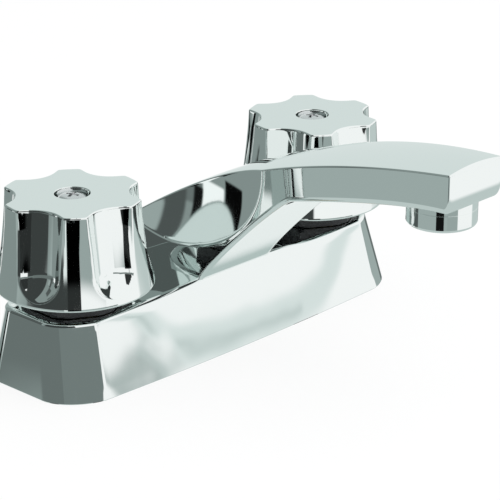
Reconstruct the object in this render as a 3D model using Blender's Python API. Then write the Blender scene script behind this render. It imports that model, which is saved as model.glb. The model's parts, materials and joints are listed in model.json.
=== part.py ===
"""Centerset bathroom faucet: one cast base and spout, two quarter-turn handles and what they hold inside.

X runs through the two handles, the spout points to -Y, and Z = 0 is the deck that the faucet stands on.
Sizes are millimetres, and MM turns them into Blender's metres where a mesh is made.
"""

import math

import bmesh
import bpy

MM = 0.001

# Clearances
SEAT_GAP = 0.3
STOP_CLEARANCE_DEG = 1.5

# Handle spacing
HANDLE_CENTRES = 101.6
HANDLE_X = HANDLE_CENTRES / 2

# Base: an outline at the deck and a smaller one at the top, with a sharp crease at each front corner
BASE_HEIGHT = 22.8
BASE_CROWN = 1.0
BASE_WALL = 2.8
BASE_EDGE_RADIUS = 1.2
CREASE_BEYOND_AXIS_LOW = 7.5
CREASE_BEYOND_AXIS_TOP = 6.2
END_BEYOND_AXIS_LOW = 21.6
END_BEYOND_AXIS_TOP = 17.4
FRONT_DEPTH_LOW = 21.3
FRONT_DEPTH_TOP = 15.5
REAR_DEPTH_LOW = 20.5
REAR_DEPTH_TOP = 15.5
FRONT_BOW_LOW = 1.5
FRONT_BOW_TOP = 0.3
REAR_CORNER_LOW = 10.0
REAR_CORNER_TOP = 7.0
NOSE_START_LOW = 1.2
NOSE_START_TOP = 2.5
NOSE_MIDDLE_LOW = 7.5
NOSE_MIDDLE_TOP = 6.5
NOSE_DEPTH_LOW = 14.0
NOSE_DEPTH_TOP = 12.0
CROWN_CLEAR_OF_AXIS = 15.0

# Pedestal and spout, cast in one with the base
SPOUT_REACH = 106.7
TIP_TOP = 78.0
TIP_HEIGHT = 11.5
TIP_HALF_WIDTH = 11.3
NECK_HALF_WIDTH = 15.3
PEDESTAL_REAR_HEIGHT = 36.6
TOP_CROWN = 1.1
LOWER_BEVEL = 1.3
TIP_ROUND_DEPTH = 1.6
TIP_ROUND_HEIGHT = 4.5
BEND_REACH = 52.0
BEND_HEIGHT = 57.3
TAPER_POWER = 1.7
SPOUT_WALL = 2.6
ARM_FLOOR = 3.2

# Scoop in each side of the pedestal, the cap of a stretched ball
SCOOP_DEPTH = 6.0
SCOOP_HALF_LENGTH = 37.5
SCOOP_HALF_HEIGHT = 30.0
SCOOP_CENTRE_Y = -4.0
SCOOP_CENTRE_Z = 63.0
SCOOP_BALL_RADIUS = 30.0

# Valve body
PLATE_THICKNESS = 2.0
SHANK_RADIUS = 10.3
SHANK_LENGTH = 48.0
SHANK_CHAMFER = 1.0
INLET_RADIUS = 6.0
DRUM_RADIUS = 13.0
BARREL_RADIUS = 11.7
CARTRIDGE_BORE_RADIUS = 9.9
CHAMBER_RADIUS = 11.2
SEAT_ABOVE_PLATE = 2.0
BARREL_ABOVE_BASE = 2.4
OUTLET_BOSS_WALL = 1.6
OUTLET_BOSS_LENGTH = 4.5

# Waterway under the base
TUBE_RADIUS = 4.8
TUBE_WALL = 1.0
TEE_HALF_LENGTH = 12.0
TEE_STOP = 4.4
RISER_RADIUS = 6.7
RISER_BORE_RADIUS = 3.8
RISER_ABOVE_BASE = 2.8
RISER_RING_ABOVE_BASE = 0.4
SPOUT_RING_RADIUS = 0.7

# Cartridge, from its seat upward
SEAL_THICKNESS = 2.3
DISC_THICKNESS = 2.5
DISC_RADIUS = 7.2
DISC_SLOT_DEPTH = 1.0
DRIVER_WIDTH = 5.0
DRIVER_RADIUS = 6.8
DRIVER_HEIGHT = 2.8
HOUSING_CAVITY_RADIUS = 7.6
FLANGE_RADIUS = 11.5
FLANGE_THICKNESS = 2.0
NECK_RADIUS = 6.0
NECK_HEIGHT = 3.5
STOP_HEIGHT = 2.0
PORT_INNER_RADIUS = 2.2
PORT_OUTER_RADIUS = 6.0
PORT_ANGLE_DEG = 70.0
WINDOW_WIDTH = 9.0
RING_RADIUS = 0.75
RING_GROOVE_HEIGHT = 2.2

# Bonnet nut
NUT_ACROSS_FLATS = 27.0
NUT_LIP_THICKNESS = 2.2

# Stem
STEM_RADIUS = 4.0
SPLINE_ROOT_RADIUS = 3.4
SPLINE_TEETH = 12
SPLINE_LENGTH = 14.0
STEM_TOP = 49.5
STEM_TAP_DEPTH = 12.0
QUARTER_TURN_DEG = 90.0
LUG_HALF_ANGLE_DEG = 15.0
LUG_RADIUS = 5.8

# Knob
KNOB_TOP = 56.4
KNOB_HEIGHT = 27.7
KNOB_TOP_RADIUS = 20.9
KNOB_RIM_RADIUS = 23.5
KNOB_FLARE_POWER = 1.5
KNOB_EDGE_RADIUS = 0.6
KNOB_WALL = 2.5
KNOB_LID = 4.0
SCALLOPS = 6
SCALLOP_TOOL_RADIUS = 9.5
SCALLOP_DEPTH = 4.4
SCALLOP_FOOT_DEPTH = 3.5
SCALLOP_FOOT_SHARE = 0.65
SCALLOP_BLEND = 2.8
LOBE_PHASE_DEG = -9.0
KNOB_BOSS_RADIUS = 7.0
KNOB_BOSS_START = 36.0
RECESS_RADIUS = 5.2
RECESS_FLOOR_RADIUS = 4.8
RECESS_DEPTH = 3.0

# Knob screw
SCREW_HEAD_RADIUS = 4.3
SCREW_HEAD_HEIGHT = 2.4
SCREW_RADIUS = 2.0
SCREW_END_CLEARANCE = 1.5
CROSS_LENGTH = 4.6
CROSS_WIDTH = 1.0
CROSS_DEPTH = 1.3

# Clamping parts under the deck
DECK_THICKNESS = 18.0
WASHER_RADIUS = 16.5
WASHER_THICKNESS = 1.6
SHANK_NUT_HEIGHT = 11.0
SHANK_NUT_HUB_RADIUS = 14.6
SHANK_NUT_WING_RADIUS = 21.0
SHANK_NUT_WINGS = 4

# Aerator: a cap on a threaded nipple under the tip
AERATOR_FROM_TIP = 11.4
AERATOR_RADIUS = 9.9
AERATOR_HEIGHT = 5.0
AERATOR_PAD = 0.2
AERATOR_CHAMFER = 1.2
AERATOR_LIP_RADIUS = 6.1
AERATOR_LIP_THICKNESS = 1.0
AERATOR_WASHER_THICKNESS = 0.9
NIPPLE_RADIUS = 8.3
OUTLET_HOLE_RADIUS = 5.5
INSERT_FLANGE = 0.9
INSERT_HEIGHT = 5.4
INSERT_RIM = 0.7
INSERT_BAR = 0.9
INSERT_BAR_PITCH = 2.6

# Facets
ROUND_SIDES = 32
SMALL_SIDES = 24
LOBE_POINTS = 10

# Heights and places that follow from the sizes above
SEAT_Z = PLATE_THICKNESS + SEAT_ABOVE_PLATE
BARREL_TOP = BASE_HEIGHT + BARREL_ABOVE_BASE
CEILING = BASE_HEIGHT - BASE_WALL
TUBE_HEIGHT = (PLATE_THICKNESS + CEILING) / 2
OUTLET_BOSS_RADIUS = TUBE_RADIUS + SEAT_GAP + OUTLET_BOSS_WALL
TUBE_BORE_RADIUS = TUBE_RADIUS - TUBE_WALL
RISER_TOP = BASE_HEIGHT + RISER_ABOVE_BASE
RISER_RING_HEIGHT = BASE_HEIGHT + RISER_RING_ABOVE_BASE
SEAL_BOTTOM = SEAT_Z + SEAT_GAP
FIXED_DISC_BOTTOM = SEAL_BOTTOM + SEAL_THICKNESS + SEAT_GAP
TURNING_DISC_BOTTOM = FIXED_DISC_BOTTOM + DISC_THICKNESS + SEAT_GAP
TURNING_DISC_TOP = TURNING_DISC_BOTTOM + DISC_THICKNESS
DRIVER_BOTTOM = TURNING_DISC_TOP - DISC_SLOT_DEPTH + SEAT_GAP
DRIVER_TOP = DRIVER_BOTTOM + DRIVER_HEIGHT + DISC_SLOT_DEPTH - SEAT_GAP
CAVITY_TOP = DRIVER_TOP + SEAT_GAP
HOUSING_RADIUS = CARTRIDGE_BORE_RADIUS - SEAT_GAP
FLANGE_BOTTOM = BARREL_TOP + SEAT_GAP
FLANGE_TOP = FLANGE_BOTTOM + FLANGE_THICKNESS
NECK_TOP = FLANGE_TOP + NECK_HEIGHT
KNOB_BOTTOM = KNOB_TOP - KNOB_HEIGHT
WEB_BOTTOM = STEM_TOP + SEAT_GAP
RECESS_FLOOR = KNOB_TOP - RECESS_DEPTH
AERATOR_Y = -(SPOUT_REACH - AERATOR_FROM_TIP)


def clear_scene():
    for obj in list(bpy.data.objects):
        bpy.data.objects.remove(obj)


def make_material(name, colour, roughness, metallic):
    material = bpy.data.materials.new(name)
    material.use_nodes = True
    shader = material.node_tree.nodes["Principled BSDF"]
    shader.inputs["Base Color"].default_value = (*colour, 1.0)
    shader.inputs["Roughness"].default_value = roughness
    shader.inputs["Metallic"].default_value = metallic
    return material


def circle(radius, z, sides, x=0.0, y=0.0):
    """Points of a ring round an upright axis, counterclockwise seen from above."""
    step = 2 * math.pi / sides
    return [(x + radius * math.cos(k * step), y + radius * math.sin(k * step), z) for k in range(sides)]


def polygon_ring(flats, across_flats, z, sides):
    """A regular polygon's outline, carried by as many points as the round ring it is joined to."""
    points = []
    for k in range(sides):
        angle = 2 * math.pi * k / sides
        sector = 2 * math.pi / flats
        offset = (angle + sector / 2) % sector - sector / 2
        radius = across_flats / 2 / math.cos(offset)
        points.append((radius * math.cos(angle), radius * math.sin(angle), z))
    return points


def new_object(name, mesh_builder, material, parent=None):
    """Makes an object from a bmesh in millimetres, with its faces pointing out."""
    bmesh.ops.recalc_face_normals(mesh_builder, faces=mesh_builder.faces)
    bmesh.ops.scale(mesh_builder, vec=(MM, MM, MM), verts=mesh_builder.verts)
    mesh = bpy.data.meshes.new(name)
    mesh_builder.to_mesh(mesh)
    mesh_builder.free()
    mesh.materials.append(material)
    mesh.shade_smooth()
    mesh.set_sharp_from_angle(angle=math.radians(32))
    obj = bpy.data.objects.new(name, mesh)
    bpy.context.scene.collection.objects.link(obj)
    obj.parent = parent
    return obj


def ring_loft(name, rings, material, parent=None, closed=False):
    """Skins rings of equal length. A closed loft joins the last ring to the first, an open one is capped."""
    builder = bmesh.new()
    loops = [[builder.verts.new(point) for point in ring] for ring in rings]
    pairs = list(zip(loops, loops[1:]))
    if closed:
        pairs.append((loops[-1], loops[0]))
    count = len(loops[0])
    for low, high in pairs:
        for k in range(count):
            after = (k + 1) % count
            builder.faces.new((low[k], low[after], high[after], high[k]))
    if not closed:
        builder.faces.new(loops[0][::-1])
        builder.faces.new(loops[-1])
    return new_object(name, builder, material, parent)


def turned(name, profile, material, parent=None, closed=False, sides=ROUND_SIDES, x=0.0, y=0.0):
    """Turns (radius, height) pairs round an upright axis. Closed makes a ring, open a solid with flat ends."""
    rings = [circle(radius, z, sides, x, y) for radius, z in profile]
    return ring_loft(name, rings, material, parent, closed)


def prism(name, outline, low, high, material, parent=None):
    """Extrudes a flat outline from one height to another."""
    rings = [[(x, y, z) for x, y in outline] for z in (low, high)]
    return ring_loft(name, rings, material, parent)


def across(name, radius, x_from, x_to, height, material, parent=None, bore=None, sides=SMALL_SIDES):
    """A round bar or, with a bore, a tube along X."""
    stations = [(radius, x_from), (radius, x_to)]
    if bore:
        stations += [(bore, x_to), (bore, x_from)]
    rings = [
        [(x, point[0], height + point[1]) for point in circle(ring_radius, 0, sides)]
        for ring_radius, x in stations
    ]
    return ring_loft(name, rings, material, parent, closed=bool(bore))


def box(name, low, high, material, parent=None):
    outline = [(low[0], low[1]), (high[0], low[1]), (high[0], high[1]), (low[0], high[1])]
    return prism(name, outline, low[2], high[2], material, parent)


def as_tool(obj):
    """Marks a cutter or a joined shape, which isn't a piece of its own."""
    obj.hide_render = True
    obj.display_type = "WIRE"
    return obj


def combine(obj, tool, operation):
    modifier = obj.modifiers.new(f"{operation.lower()} {tool.name}", "BOOLEAN")
    modifier.operation = operation
    modifier.object = as_tool(tool)
    modifier.solver = "EXACT"


def cut(obj, tool):
    combine(obj, tool, "DIFFERENCE")


def join(obj, tool):
    combine(obj, tool, "UNION")


def bezier(points, share):
    """A point of a cubic curve in the plane."""
    rest = 1 - share
    weights = (rest**3, 3 * rest**2 * share, 3 * rest * share**2, share**3)
    return tuple(sum(w * point[axis] for w, point in zip(weights, points)) for axis in (0, 1))


def height_on(curves, y):
    """The height, at this Y, of curves that run from the rear to the tip."""
    samples = [bezier(curve, k / 48) for curve in curves for k in range(49)]
    for (y_near, z_near), (y_far, z_far) in zip(samples, samples[1:]):
        if y_far <= y <= y_near and y_near > y_far:
            return z_near + (z_far - z_near) * (y_near - y) / (y_near - y_far)
    return samples[0][1] if y > samples[0][0] else samples[-1][1]


def mix(low, high, share):
    return low + (high - low) * share


def inset(outline, distance):
    """Moves a counterclockwise outline inward by a wall's thickness."""
    moved = []
    for before, point, after in zip(outline[-1:] + outline[:-1], outline, outline[1:] + outline[:1]):
        normals = []
        for start, end in ((before, point), (point, after)):
            dx, dy = end[0] - start[0], end[1] - start[1]
            length = math.hypot(dx, dy)
            normals.append((-dy / length, dx / length))
        nx, ny = normals[0][0] + normals[1][0], normals[0][1] + normals[1][1]
        scale = 2 * distance / (nx * nx + ny * ny)
        moved.append((point[0] + nx * scale, point[1] + ny * scale))
    return moved


# The shares of the crown's half-width at which the front and rear edges have a point
CROWN_SHARES = (-1.0, -0.67, -0.33, 0.0, 0.33, 0.67, 1.0)


def base_outline(level):
    """The base's outline, counterclockwise from the front left crease. Level is 0 at the deck and 1 at the top."""
    crease_x = HANDLE_X + mix(CREASE_BEYOND_AXIS_LOW, CREASE_BEYOND_AXIS_TOP, level)
    end_x = HANDLE_X + mix(END_BEYOND_AXIS_LOW, END_BEYOND_AXIS_TOP, level)
    front_y = -mix(FRONT_DEPTH_LOW, FRONT_DEPTH_TOP, level)
    rear_y = mix(REAR_DEPTH_LOW, REAR_DEPTH_TOP, level)
    bow = mix(FRONT_BOW_LOW, FRONT_BOW_TOP, level)
    corner = mix(REAR_CORNER_LOW, REAR_CORNER_TOP, level)
    crown_x = HANDLE_X - CROWN_CLEAR_OF_AXIS
    front = [(-crease_x, front_y)]
    for share in CROWN_SHARES:
        x = share * crown_x
        front.append((x, front_y - bow * (1 - (x / crease_x) ** 2)))
    front.append((crease_x, front_y))
    # The front corner starts 15 to 25 degrees off the front face and ends along the end face
    run = end_x - crease_x
    wrap = (
        (crease_x, front_y),
        (crease_x + 0.5 * run, front_y + mix(NOSE_START_LOW, NOSE_START_TOP, level)),
        (end_x - 0.02 * run, front_y + mix(NOSE_MIDDLE_LOW, NOSE_MIDDLE_TOP, level)),
        (end_x - 0.04 * run, front_y + mix(NOSE_DEPTH_LOW, NOSE_DEPTH_TOP, level)),
    )
    right = [bezier(wrap, k / 6) for k in range(1, 7)]
    right.append((end_x, rear_y - corner))
    for degrees in (30, 60, 90):
        angle = math.radians(degrees)
        right.append((end_x - corner * (1 - math.cos(angle)), rear_y - corner * (1 - math.sin(angle))))
    left = [(-x, y) for x, y in reversed(right)]
    rear = [(share * crown_x, rear_y) for share in reversed(CROWN_SHARES)]
    return front + right + rear + left


def crown(x):
    """How far the base's top stands above its ends."""
    crown_x = HANDLE_X - CROWN_CLEAR_OF_AXIS
    return BASE_CROWN * max(0.0, 1 - (x / crown_x) ** 2)


def base_ring(z, distance):
    """A ring of the base's skin at this height over the ends, moved inward by a distance."""
    outline = inset(base_outline(z / BASE_HEIGHT), distance) if distance else base_outline(z / BASE_HEIGHT)
    return [(x, y, z + crown(x) * z / BASE_HEIGHT) for x, y in outline]


def make_base_skin(material):
    """The outside of the base. Its top is one strip of quads over the crown and a flat face at each end."""
    radius = BASE_EDGE_RADIUS
    rings = [base_ring(0, 0), base_ring(BASE_HEIGHT - radius, 0)]
    for degrees in (30, 60, 90):
        angle = math.radians(degrees)
        rings.append(base_ring(BASE_HEIGHT - radius * (1 - math.sin(angle)), radius * (1 - math.cos(angle))))
    builder = bmesh.new()
    loops = [[builder.verts.new(point) for point in ring] for ring in rings]
    count = len(loops[0])
    for low, high in zip(loops, loops[1:]):
        for k in range(count):
            after = (k + 1) % count
            builder.faces.new((low[k], low[after], high[after], high[k]))
    builder.faces.new(loops[0][::-1])
    top = loops[-1]
    spans = len(CROWN_SHARES)
    wrap = (count - 2 * spans - 2) // 2
    rear_start = 2 + spans + wrap
    for k in range(spans - 1):
        front, back = 1 + k, rear_start + spans - 1 - k
        builder.faces.new((top[front], top[front + 1], top[back - 1], top[back]))
    builder.faces.new(top[spans : rear_start + 1])
    builder.faces.new(top[rear_start + spans - 1 :] + top[:2])
    return new_object("base_spout", builder, material)


def half_width(y):
    """Half the width of pedestal and spout, straight to the bend and then tapering to the tip."""
    share = max(0.0, (-y - BEND_REACH) / (SPOUT_REACH - BEND_REACH))
    return mix(NECK_HALF_WIDTH, TIP_HALF_WIDTH, share**TAPER_POWER)


def top_curves():
    """The side view of the spout's upper edge, from the rear of the pedestal to the tip."""
    rear = REAR_DEPTH_TOP - BASE_EDGE_RADIUS
    lift = TIP_TOP - PEDESTAL_REAR_HEIGHT
    return [
        (
            (rear, PEDESTAL_REAR_HEIGHT),
            (rear - 0.28 * (rear + SPOUT_REACH), PEDESTAL_REAR_HEIGHT + 0.555 * lift),
            (rear - 0.62 * (rear + SPOUT_REACH), TIP_TOP - 0.082 * lift),
            (-SPOUT_REACH, TIP_TOP),
        )
    ]


def under_curves():
    """The side view of the lower edge: up the front of the neck, round the bend, and along to the tip."""
    foot_y, foot_z = -FRONT_DEPTH_TOP, BASE_HEIGHT + BASE_CROWN - BASE_EDGE_RADIUS
    run, rise = BEND_REACH + foot_y, BEND_HEIGHT - foot_z
    tip_z = TIP_TOP - TIP_HEIGHT
    arm, climb = SPOUT_REACH - BEND_REACH, tip_z - BEND_HEIGHT
    return [
        (
            (foot_y, foot_z),
            (foot_y - 0.06 * run, foot_z + 0.15 * rise),
            (foot_y - 0.83 * run, foot_z + 0.92 * rise),
            (-BEND_REACH, BEND_HEIGHT),
        ),
        (
            (-BEND_REACH, BEND_HEIGHT),
            (-BEND_REACH - 0.16 * arm, BEND_HEIGHT + 0.24 * climb),
            (-BEND_REACH - 0.67 * arm, BEND_HEIGHT + 1.05 * climb),
            (-SPOUT_REACH, tip_z),
        ),
    ]


def top_z(y):
    return height_on(top_curves(), y)


def under_z(y):
    """The lower edge. Over the base it dips into the base's top wall, and at the tip it rounds up."""
    if y > -FRONT_DEPTH_TOP + 0.4:
        return BASE_HEIGHT - BASE_WALL / 2
    into_round = max(0.0, -y - (SPOUT_REACH - TIP_ROUND_DEPTH)) / TIP_ROUND_DEPTH
    lift = TIP_ROUND_HEIGHT * (1 - math.sqrt(max(0.0, 1 - into_round**2)))
    return height_on(under_curves(), y) + lift


def spout_section(y):
    """One upright section of pedestal or spout, counterclockwise seen from the tip."""
    low, high, half = under_z(y), top_z(y), half_width(y)
    right = [(0.0, low), (0.5 * (half - LOWER_BEVEL), low), (half - LOWER_BEVEL, low)]
    right.append((half, low + LOWER_BEVEL))
    right.append((half, high))
    for share in (0.75, 0.5, 0.25):
        right.append((half * share, high + TOP_CROWN * (1 - share**2)))
    left = [(-x, z) for x, z in reversed(right[1:])]
    return [(x, y, z) for x, z in right + [(0.0, high + TOP_CROWN)] + left]


def spread(start, end, count):
    return [mix(start, end, k / count) for k in range(count)]


def spout_stations():
    """The Y of each section, closer together at the foot, the bend and the tip."""
    rear = REAR_DEPTH_TOP - BASE_EDGE_RADIUS
    foot = -FRONT_DEPTH_TOP
    stations = spread(rear, foot + 0.5, 8) + [foot + 0.5, foot]
    stations += spread(foot - 1.0, -BEND_REACH, 13)
    stations += spread(-BEND_REACH, -(SPOUT_REACH - TIP_ROUND_DEPTH), 10)
    for degrees in (0, 30, 55, 75, 90):
        stations.append(-SPOUT_REACH + TIP_ROUND_DEPTH * (1 - math.sin(math.radians(degrees))))
    return stations


def scoop_ball():
    """The centre's X and the three radii of the stretched ball that cuts a scoop."""
    beyond = SCOOP_BALL_RADIUS - SCOOP_DEPTH
    share = math.sqrt(1 - (beyond / SCOOP_BALL_RADIUS) ** 2)
    centre_x = NECK_HALF_WIDTH + beyond
    return centre_x, SCOOP_BALL_RADIUS, SCOOP_HALF_LENGTH / share, SCOOP_HALF_HEIGHT / share


def make_scoop_tool(side, material):
    centre_x, radius_x, radius_y, radius_z = scoop_ball()
    builder = bmesh.new()
    bmesh.ops.create_uvsphere(builder, u_segments=60, v_segments=36, radius=1.0)
    for vert in builder.verts:
        vert.co.x = side * centre_x + vert.co.x * radius_x
        vert.co.y = SCOOP_CENTRE_Y + vert.co.y * radius_y
        vert.co.z = SCOOP_CENTRE_Z + vert.co.z * radius_z
    return new_object(f"scoop_tool_{'right' if side > 0 else 'left'}", builder, material)


def side_x(y, z):
    """Half the width that the scoops leave at this place."""
    centre_x, radius_x, radius_y, radius_z = scoop_ball()
    left = 1 - ((y - SCOOP_CENTRE_Y) / radius_y) ** 2 - ((z - SCOOP_CENTRE_Z) / radius_z) ** 2
    return min(half_width(y), centre_x - radius_x * math.sqrt(max(0.0, left)))


def slope_factor(height, y):
    """How much longer an upright wall is than the wall's own thickness on a slope."""
    rise = (height(y - 0.5) - height(y + 0.5)) / 1.0
    return math.sqrt(1 + rise * rise)


def waterway_section(y):
    """The cored hollow of pedestal and spout, one wall inside the skin."""
    floor = BASE_HEIGHT + BASE_CROWN + SPOUT_WALL
    low = floor
    if y < -FRONT_DEPTH_TOP + 4:
        sloped = under_z(min(y, -FRONT_DEPTH_TOP))
        low = max(floor, sloped + ARM_FLOOR * slope_factor(under_z, min(y, -FRONT_DEPTH_TOP - 1)))
    high = top_z(y) - SPOUT_WALL * slope_factor(top_z, y)
    half = side_x(y, top_z(y)) - SPOUT_WALL
    corner = min(2.0, (high - low) / 3)
    right = [(half - corner, low), (half, low + corner), (half, high - corner), (half - corner, high)]
    return [(x, y, z) for x, z in right] + [(-x, y, z) for x, z in reversed(right)]


def make_waterway_tool(material):
    rear = REAR_DEPTH_TOP - BASE_EDGE_RADIUS - 2 * SPOUT_WALL
    front = -(SPOUT_REACH - TIP_ROUND_DEPTH - SPOUT_WALL)
    stations = spread(rear, -FRONT_DEPTH_TOP, 4) + spread(-FRONT_DEPTH_TOP, -BEND_REACH, 8)
    stations += spread(-BEND_REACH, front, 6) + [front]
    return ring_loft("waterway_tool", [waterway_section(y) for y in stations], material)


def pad_bottom():
    """The round pad that the aerator sits against, just below all of the underside that it covers."""
    return under_z(AERATOR_Y + AERATOR_RADIUS) - AERATOR_PAD


def aerator_bottom():
    return pad_bottom() - SEAT_GAP - AERATOR_HEIGHT


def insert_bottom():
    return aerator_bottom() + AERATOR_LIP_THICKNESS + SEAT_GAP


def aerator_washer_bottom():
    return insert_bottom() + INSERT_FLANGE + SEAT_GAP


def nipple_bottom():
    return aerator_washer_bottom() + AERATOR_WASHER_THICKNESS + SEAT_GAP


def make_base_spout(chrome):
    """The casting: base shell, pedestal and spout, cored and drilled."""
    casting = make_base_skin(chrome)
    hollow_rings = []
    for z in (-1.0, CEILING):
        level = max(0.0, z) / BASE_HEIGHT
        hollow_rings.append([(x, y, z) for x, y in inset(base_outline(level), BASE_WALL)])
    cut(casting, ring_loft("hollow_tool", hollow_rings, chrome))

    spout = ring_loft("spout_shape", [spout_section(y) for y in spout_stations()], chrome)
    for side in (-1, 1):
        cut(spout, make_scoop_tool(side, chrome))
    nipple = [
        (NIPPLE_RADIUS, nipple_bottom()),
        (NIPPLE_RADIUS, pad_bottom()),
        (AERATOR_RADIUS, pad_bottom()),
        (AERATOR_RADIUS, under_z(AERATOR_Y) + ARM_FLOOR - SEAT_GAP),
    ]
    join(spout, turned("nipple_shape", nipple, chrome, y=AERATOR_Y))
    join(casting, spout)

    cut(casting, make_waterway_tool(chrome))
    socket_radius = RISER_RADIUS + SEAT_GAP
    socket = [(socket_radius, CEILING - 2), (socket_radius, BASE_HEIGHT + BASE_CROWN + SPOUT_WALL + 1)]
    cut(casting, turned("riser_socket_tool", socket, chrome, sides=SMALL_SIDES))
    outlet = [
        (OUTLET_HOLE_RADIUS, nipple_bottom() - 1),
        (OUTLET_HOLE_RADIUS, under_z(AERATOR_Y) + ARM_FLOOR + 1),
    ]
    cut(casting, turned("outlet_tool", outlet, chrome, y=AERATOR_Y))
    hole_radius = BARREL_RADIUS + SEAT_GAP
    for side in (-1, 1):
        hole = [(hole_radius, CEILING - 2), (hole_radius, BASE_HEIGHT + 2)]
        cut(casting, turned(f"valve_hole_tool_{'right' if side > 0 else 'left'}", hole, chrome, x=side * HANDLE_X))
    return casting


def make_base_plate(plastic):
    """The moulded plate inside the base's rim, flush with it on the deck."""
    rings = []
    for z in (0.0, PLATE_THICKNESS):
        outline = inset(base_outline(z / BASE_HEIGHT), BASE_WALL + SEAT_GAP)
        rings.append([(x, y, z) for x, y in outline])
    plate = ring_loft("base_plate", rings, plastic)
    for side in (-1, 1):
        radius = SHANK_RADIUS + SEAT_GAP
        hole = [(radius, -2.0), (radius, PLATE_THICKNESS + 2)]
        cut(plate, turned(f"shank_hole_tool_{'right' if side > 0 else 'left'}", hole, plastic, x=side * HANDLE_X))
    return plate


def make_valve_body(name, axis, side, brass):
    """Shank, drum and barrel turned in one, with an outlet boss on the side of the middle."""
    drum_bottom = PLATE_THICKNESS + SEAT_GAP
    drum_top = CEILING - 2 * SEAT_GAP - 2.0
    profile = [
        (SHANK_RADIUS - SHANK_CHAMFER, -SHANK_LENGTH),
        (SHANK_RADIUS, -SHANK_LENGTH + SHANK_CHAMFER),
        (SHANK_RADIUS, drum_bottom),
        (DRUM_RADIUS, drum_bottom),
        (DRUM_RADIUS, drum_top),
        (BARREL_RADIUS, drum_top + 1.5),
        (BARREL_RADIUS, BARREL_TOP),
        (CARTRIDGE_BORE_RADIUS, BARREL_TOP),
        (CARTRIDGE_BORE_RADIUS, CAVITY_TOP + 0.5),
        (CHAMBER_RADIUS, CAVITY_TOP - 0.5),
        (CHAMBER_RADIUS, TURNING_DISC_BOTTOM),
        (CARTRIDGE_BORE_RADIUS, TURNING_DISC_BOTTOM - 1.0),
        (CARTRIDGE_BORE_RADIUS, SEAT_Z),
        (INLET_RADIUS, SEAT_Z),
        (INLET_RADIUS, -SHANK_LENGTH),
    ]
    body = turned(name, profile, brass, axis, closed=True, sides=SMALL_SIDES)
    boss_end = DRUM_RADIUS + OUTLET_BOSS_LENGTH
    inner = (CHAMBER_RADIUS + DRUM_RADIUS) / 2
    boss = across(f"{name}_boss", OUTLET_BOSS_RADIUS, -side * inner, -side * boss_end, TUBE_HEIGHT, brass, axis)
    join(body, boss)
    radius = TUBE_RADIUS + SEAT_GAP
    start, end = CARTRIDGE_BORE_RADIUS - 1, boss_end + 1
    cut(body, across(f"{name}_outlet_tool", radius, -side * start, -side * end, TUBE_HEIGHT, brass, axis))
    return body


def make_cross_tube(name, side, metal):
    """Runs from the valve body's boss into the tee."""
    inner = TEE_STOP + SEAT_GAP
    outer = HANDLE_X - DRUM_RADIUS + SEAT_GAP
    return across(name, TUBE_RADIUS, side * inner, side * outer, TUBE_HEIGHT, metal, bore=TUBE_BORE_RADIUS)


def make_tee(brass):
    """The tee that joins both tubes, with its riser in the casting's socket."""
    tee = across("mixing_tee", OUTLET_BOSS_RADIUS, -TEE_HALF_LENGTH, TEE_HALF_LENGTH, TUBE_HEIGHT, brass)
    groove = RISER_RADIUS + SEAT_GAP - 2 * (SPOUT_RING_RADIUS + SEAT_GAP)
    half_groove = SPOUT_RING_RADIUS + SEAT_GAP
    riser = [
        (RISER_RADIUS, TUBE_HEIGHT),
        (RISER_RADIUS, RISER_RING_HEIGHT - half_groove),
        (groove, RISER_RING_HEIGHT - half_groove),
        (groove, RISER_RING_HEIGHT + half_groove),
        (RISER_RADIUS, RISER_RING_HEIGHT + half_groove),
        (RISER_RADIUS, RISER_TOP),
    ]
    join(tee, turned("riser_shape", riser, brass, sides=SMALL_SIDES))
    bore = [(RISER_BORE_RADIUS, TUBE_HEIGHT), (RISER_BORE_RADIUS, RISER_TOP + 1)]
    cut(tee, turned("riser_bore_tool", bore, brass, sides=SMALL_SIDES))
    through = TEE_HALF_LENGTH + 1
    cut(tee, across("tee_bore_tool", TUBE_BORE_RADIUS, -through, through, TUBE_HEIGHT, brass))
    for side in (-1, 1):
        radius = TUBE_RADIUS + SEAT_GAP
        tool = f"tee_socket_tool_{'right' if side > 0 else 'left'}"
        cut(tee, across(tool, radius, side * TEE_STOP, side * through, TUBE_HEIGHT, brass))
    return tee


def make_o_ring(name, centre_radius, ring_radius, height, rubber, axis=None):
    profile = []
    for k in range(6):
        angle = 2 * math.pi * k / 6
        profile.append((centre_radius + ring_radius * math.cos(angle), height + ring_radius * math.sin(angle)))
    return turned(name, profile, rubber, axis, closed=True, sides=SMALL_SIDES)


def ring_seat_z():
    """The middle of the O-ring's groove round the cartridge, between chamber and flange."""
    return (CAVITY_TOP + FLANGE_BOTTOM) / 2


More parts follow.
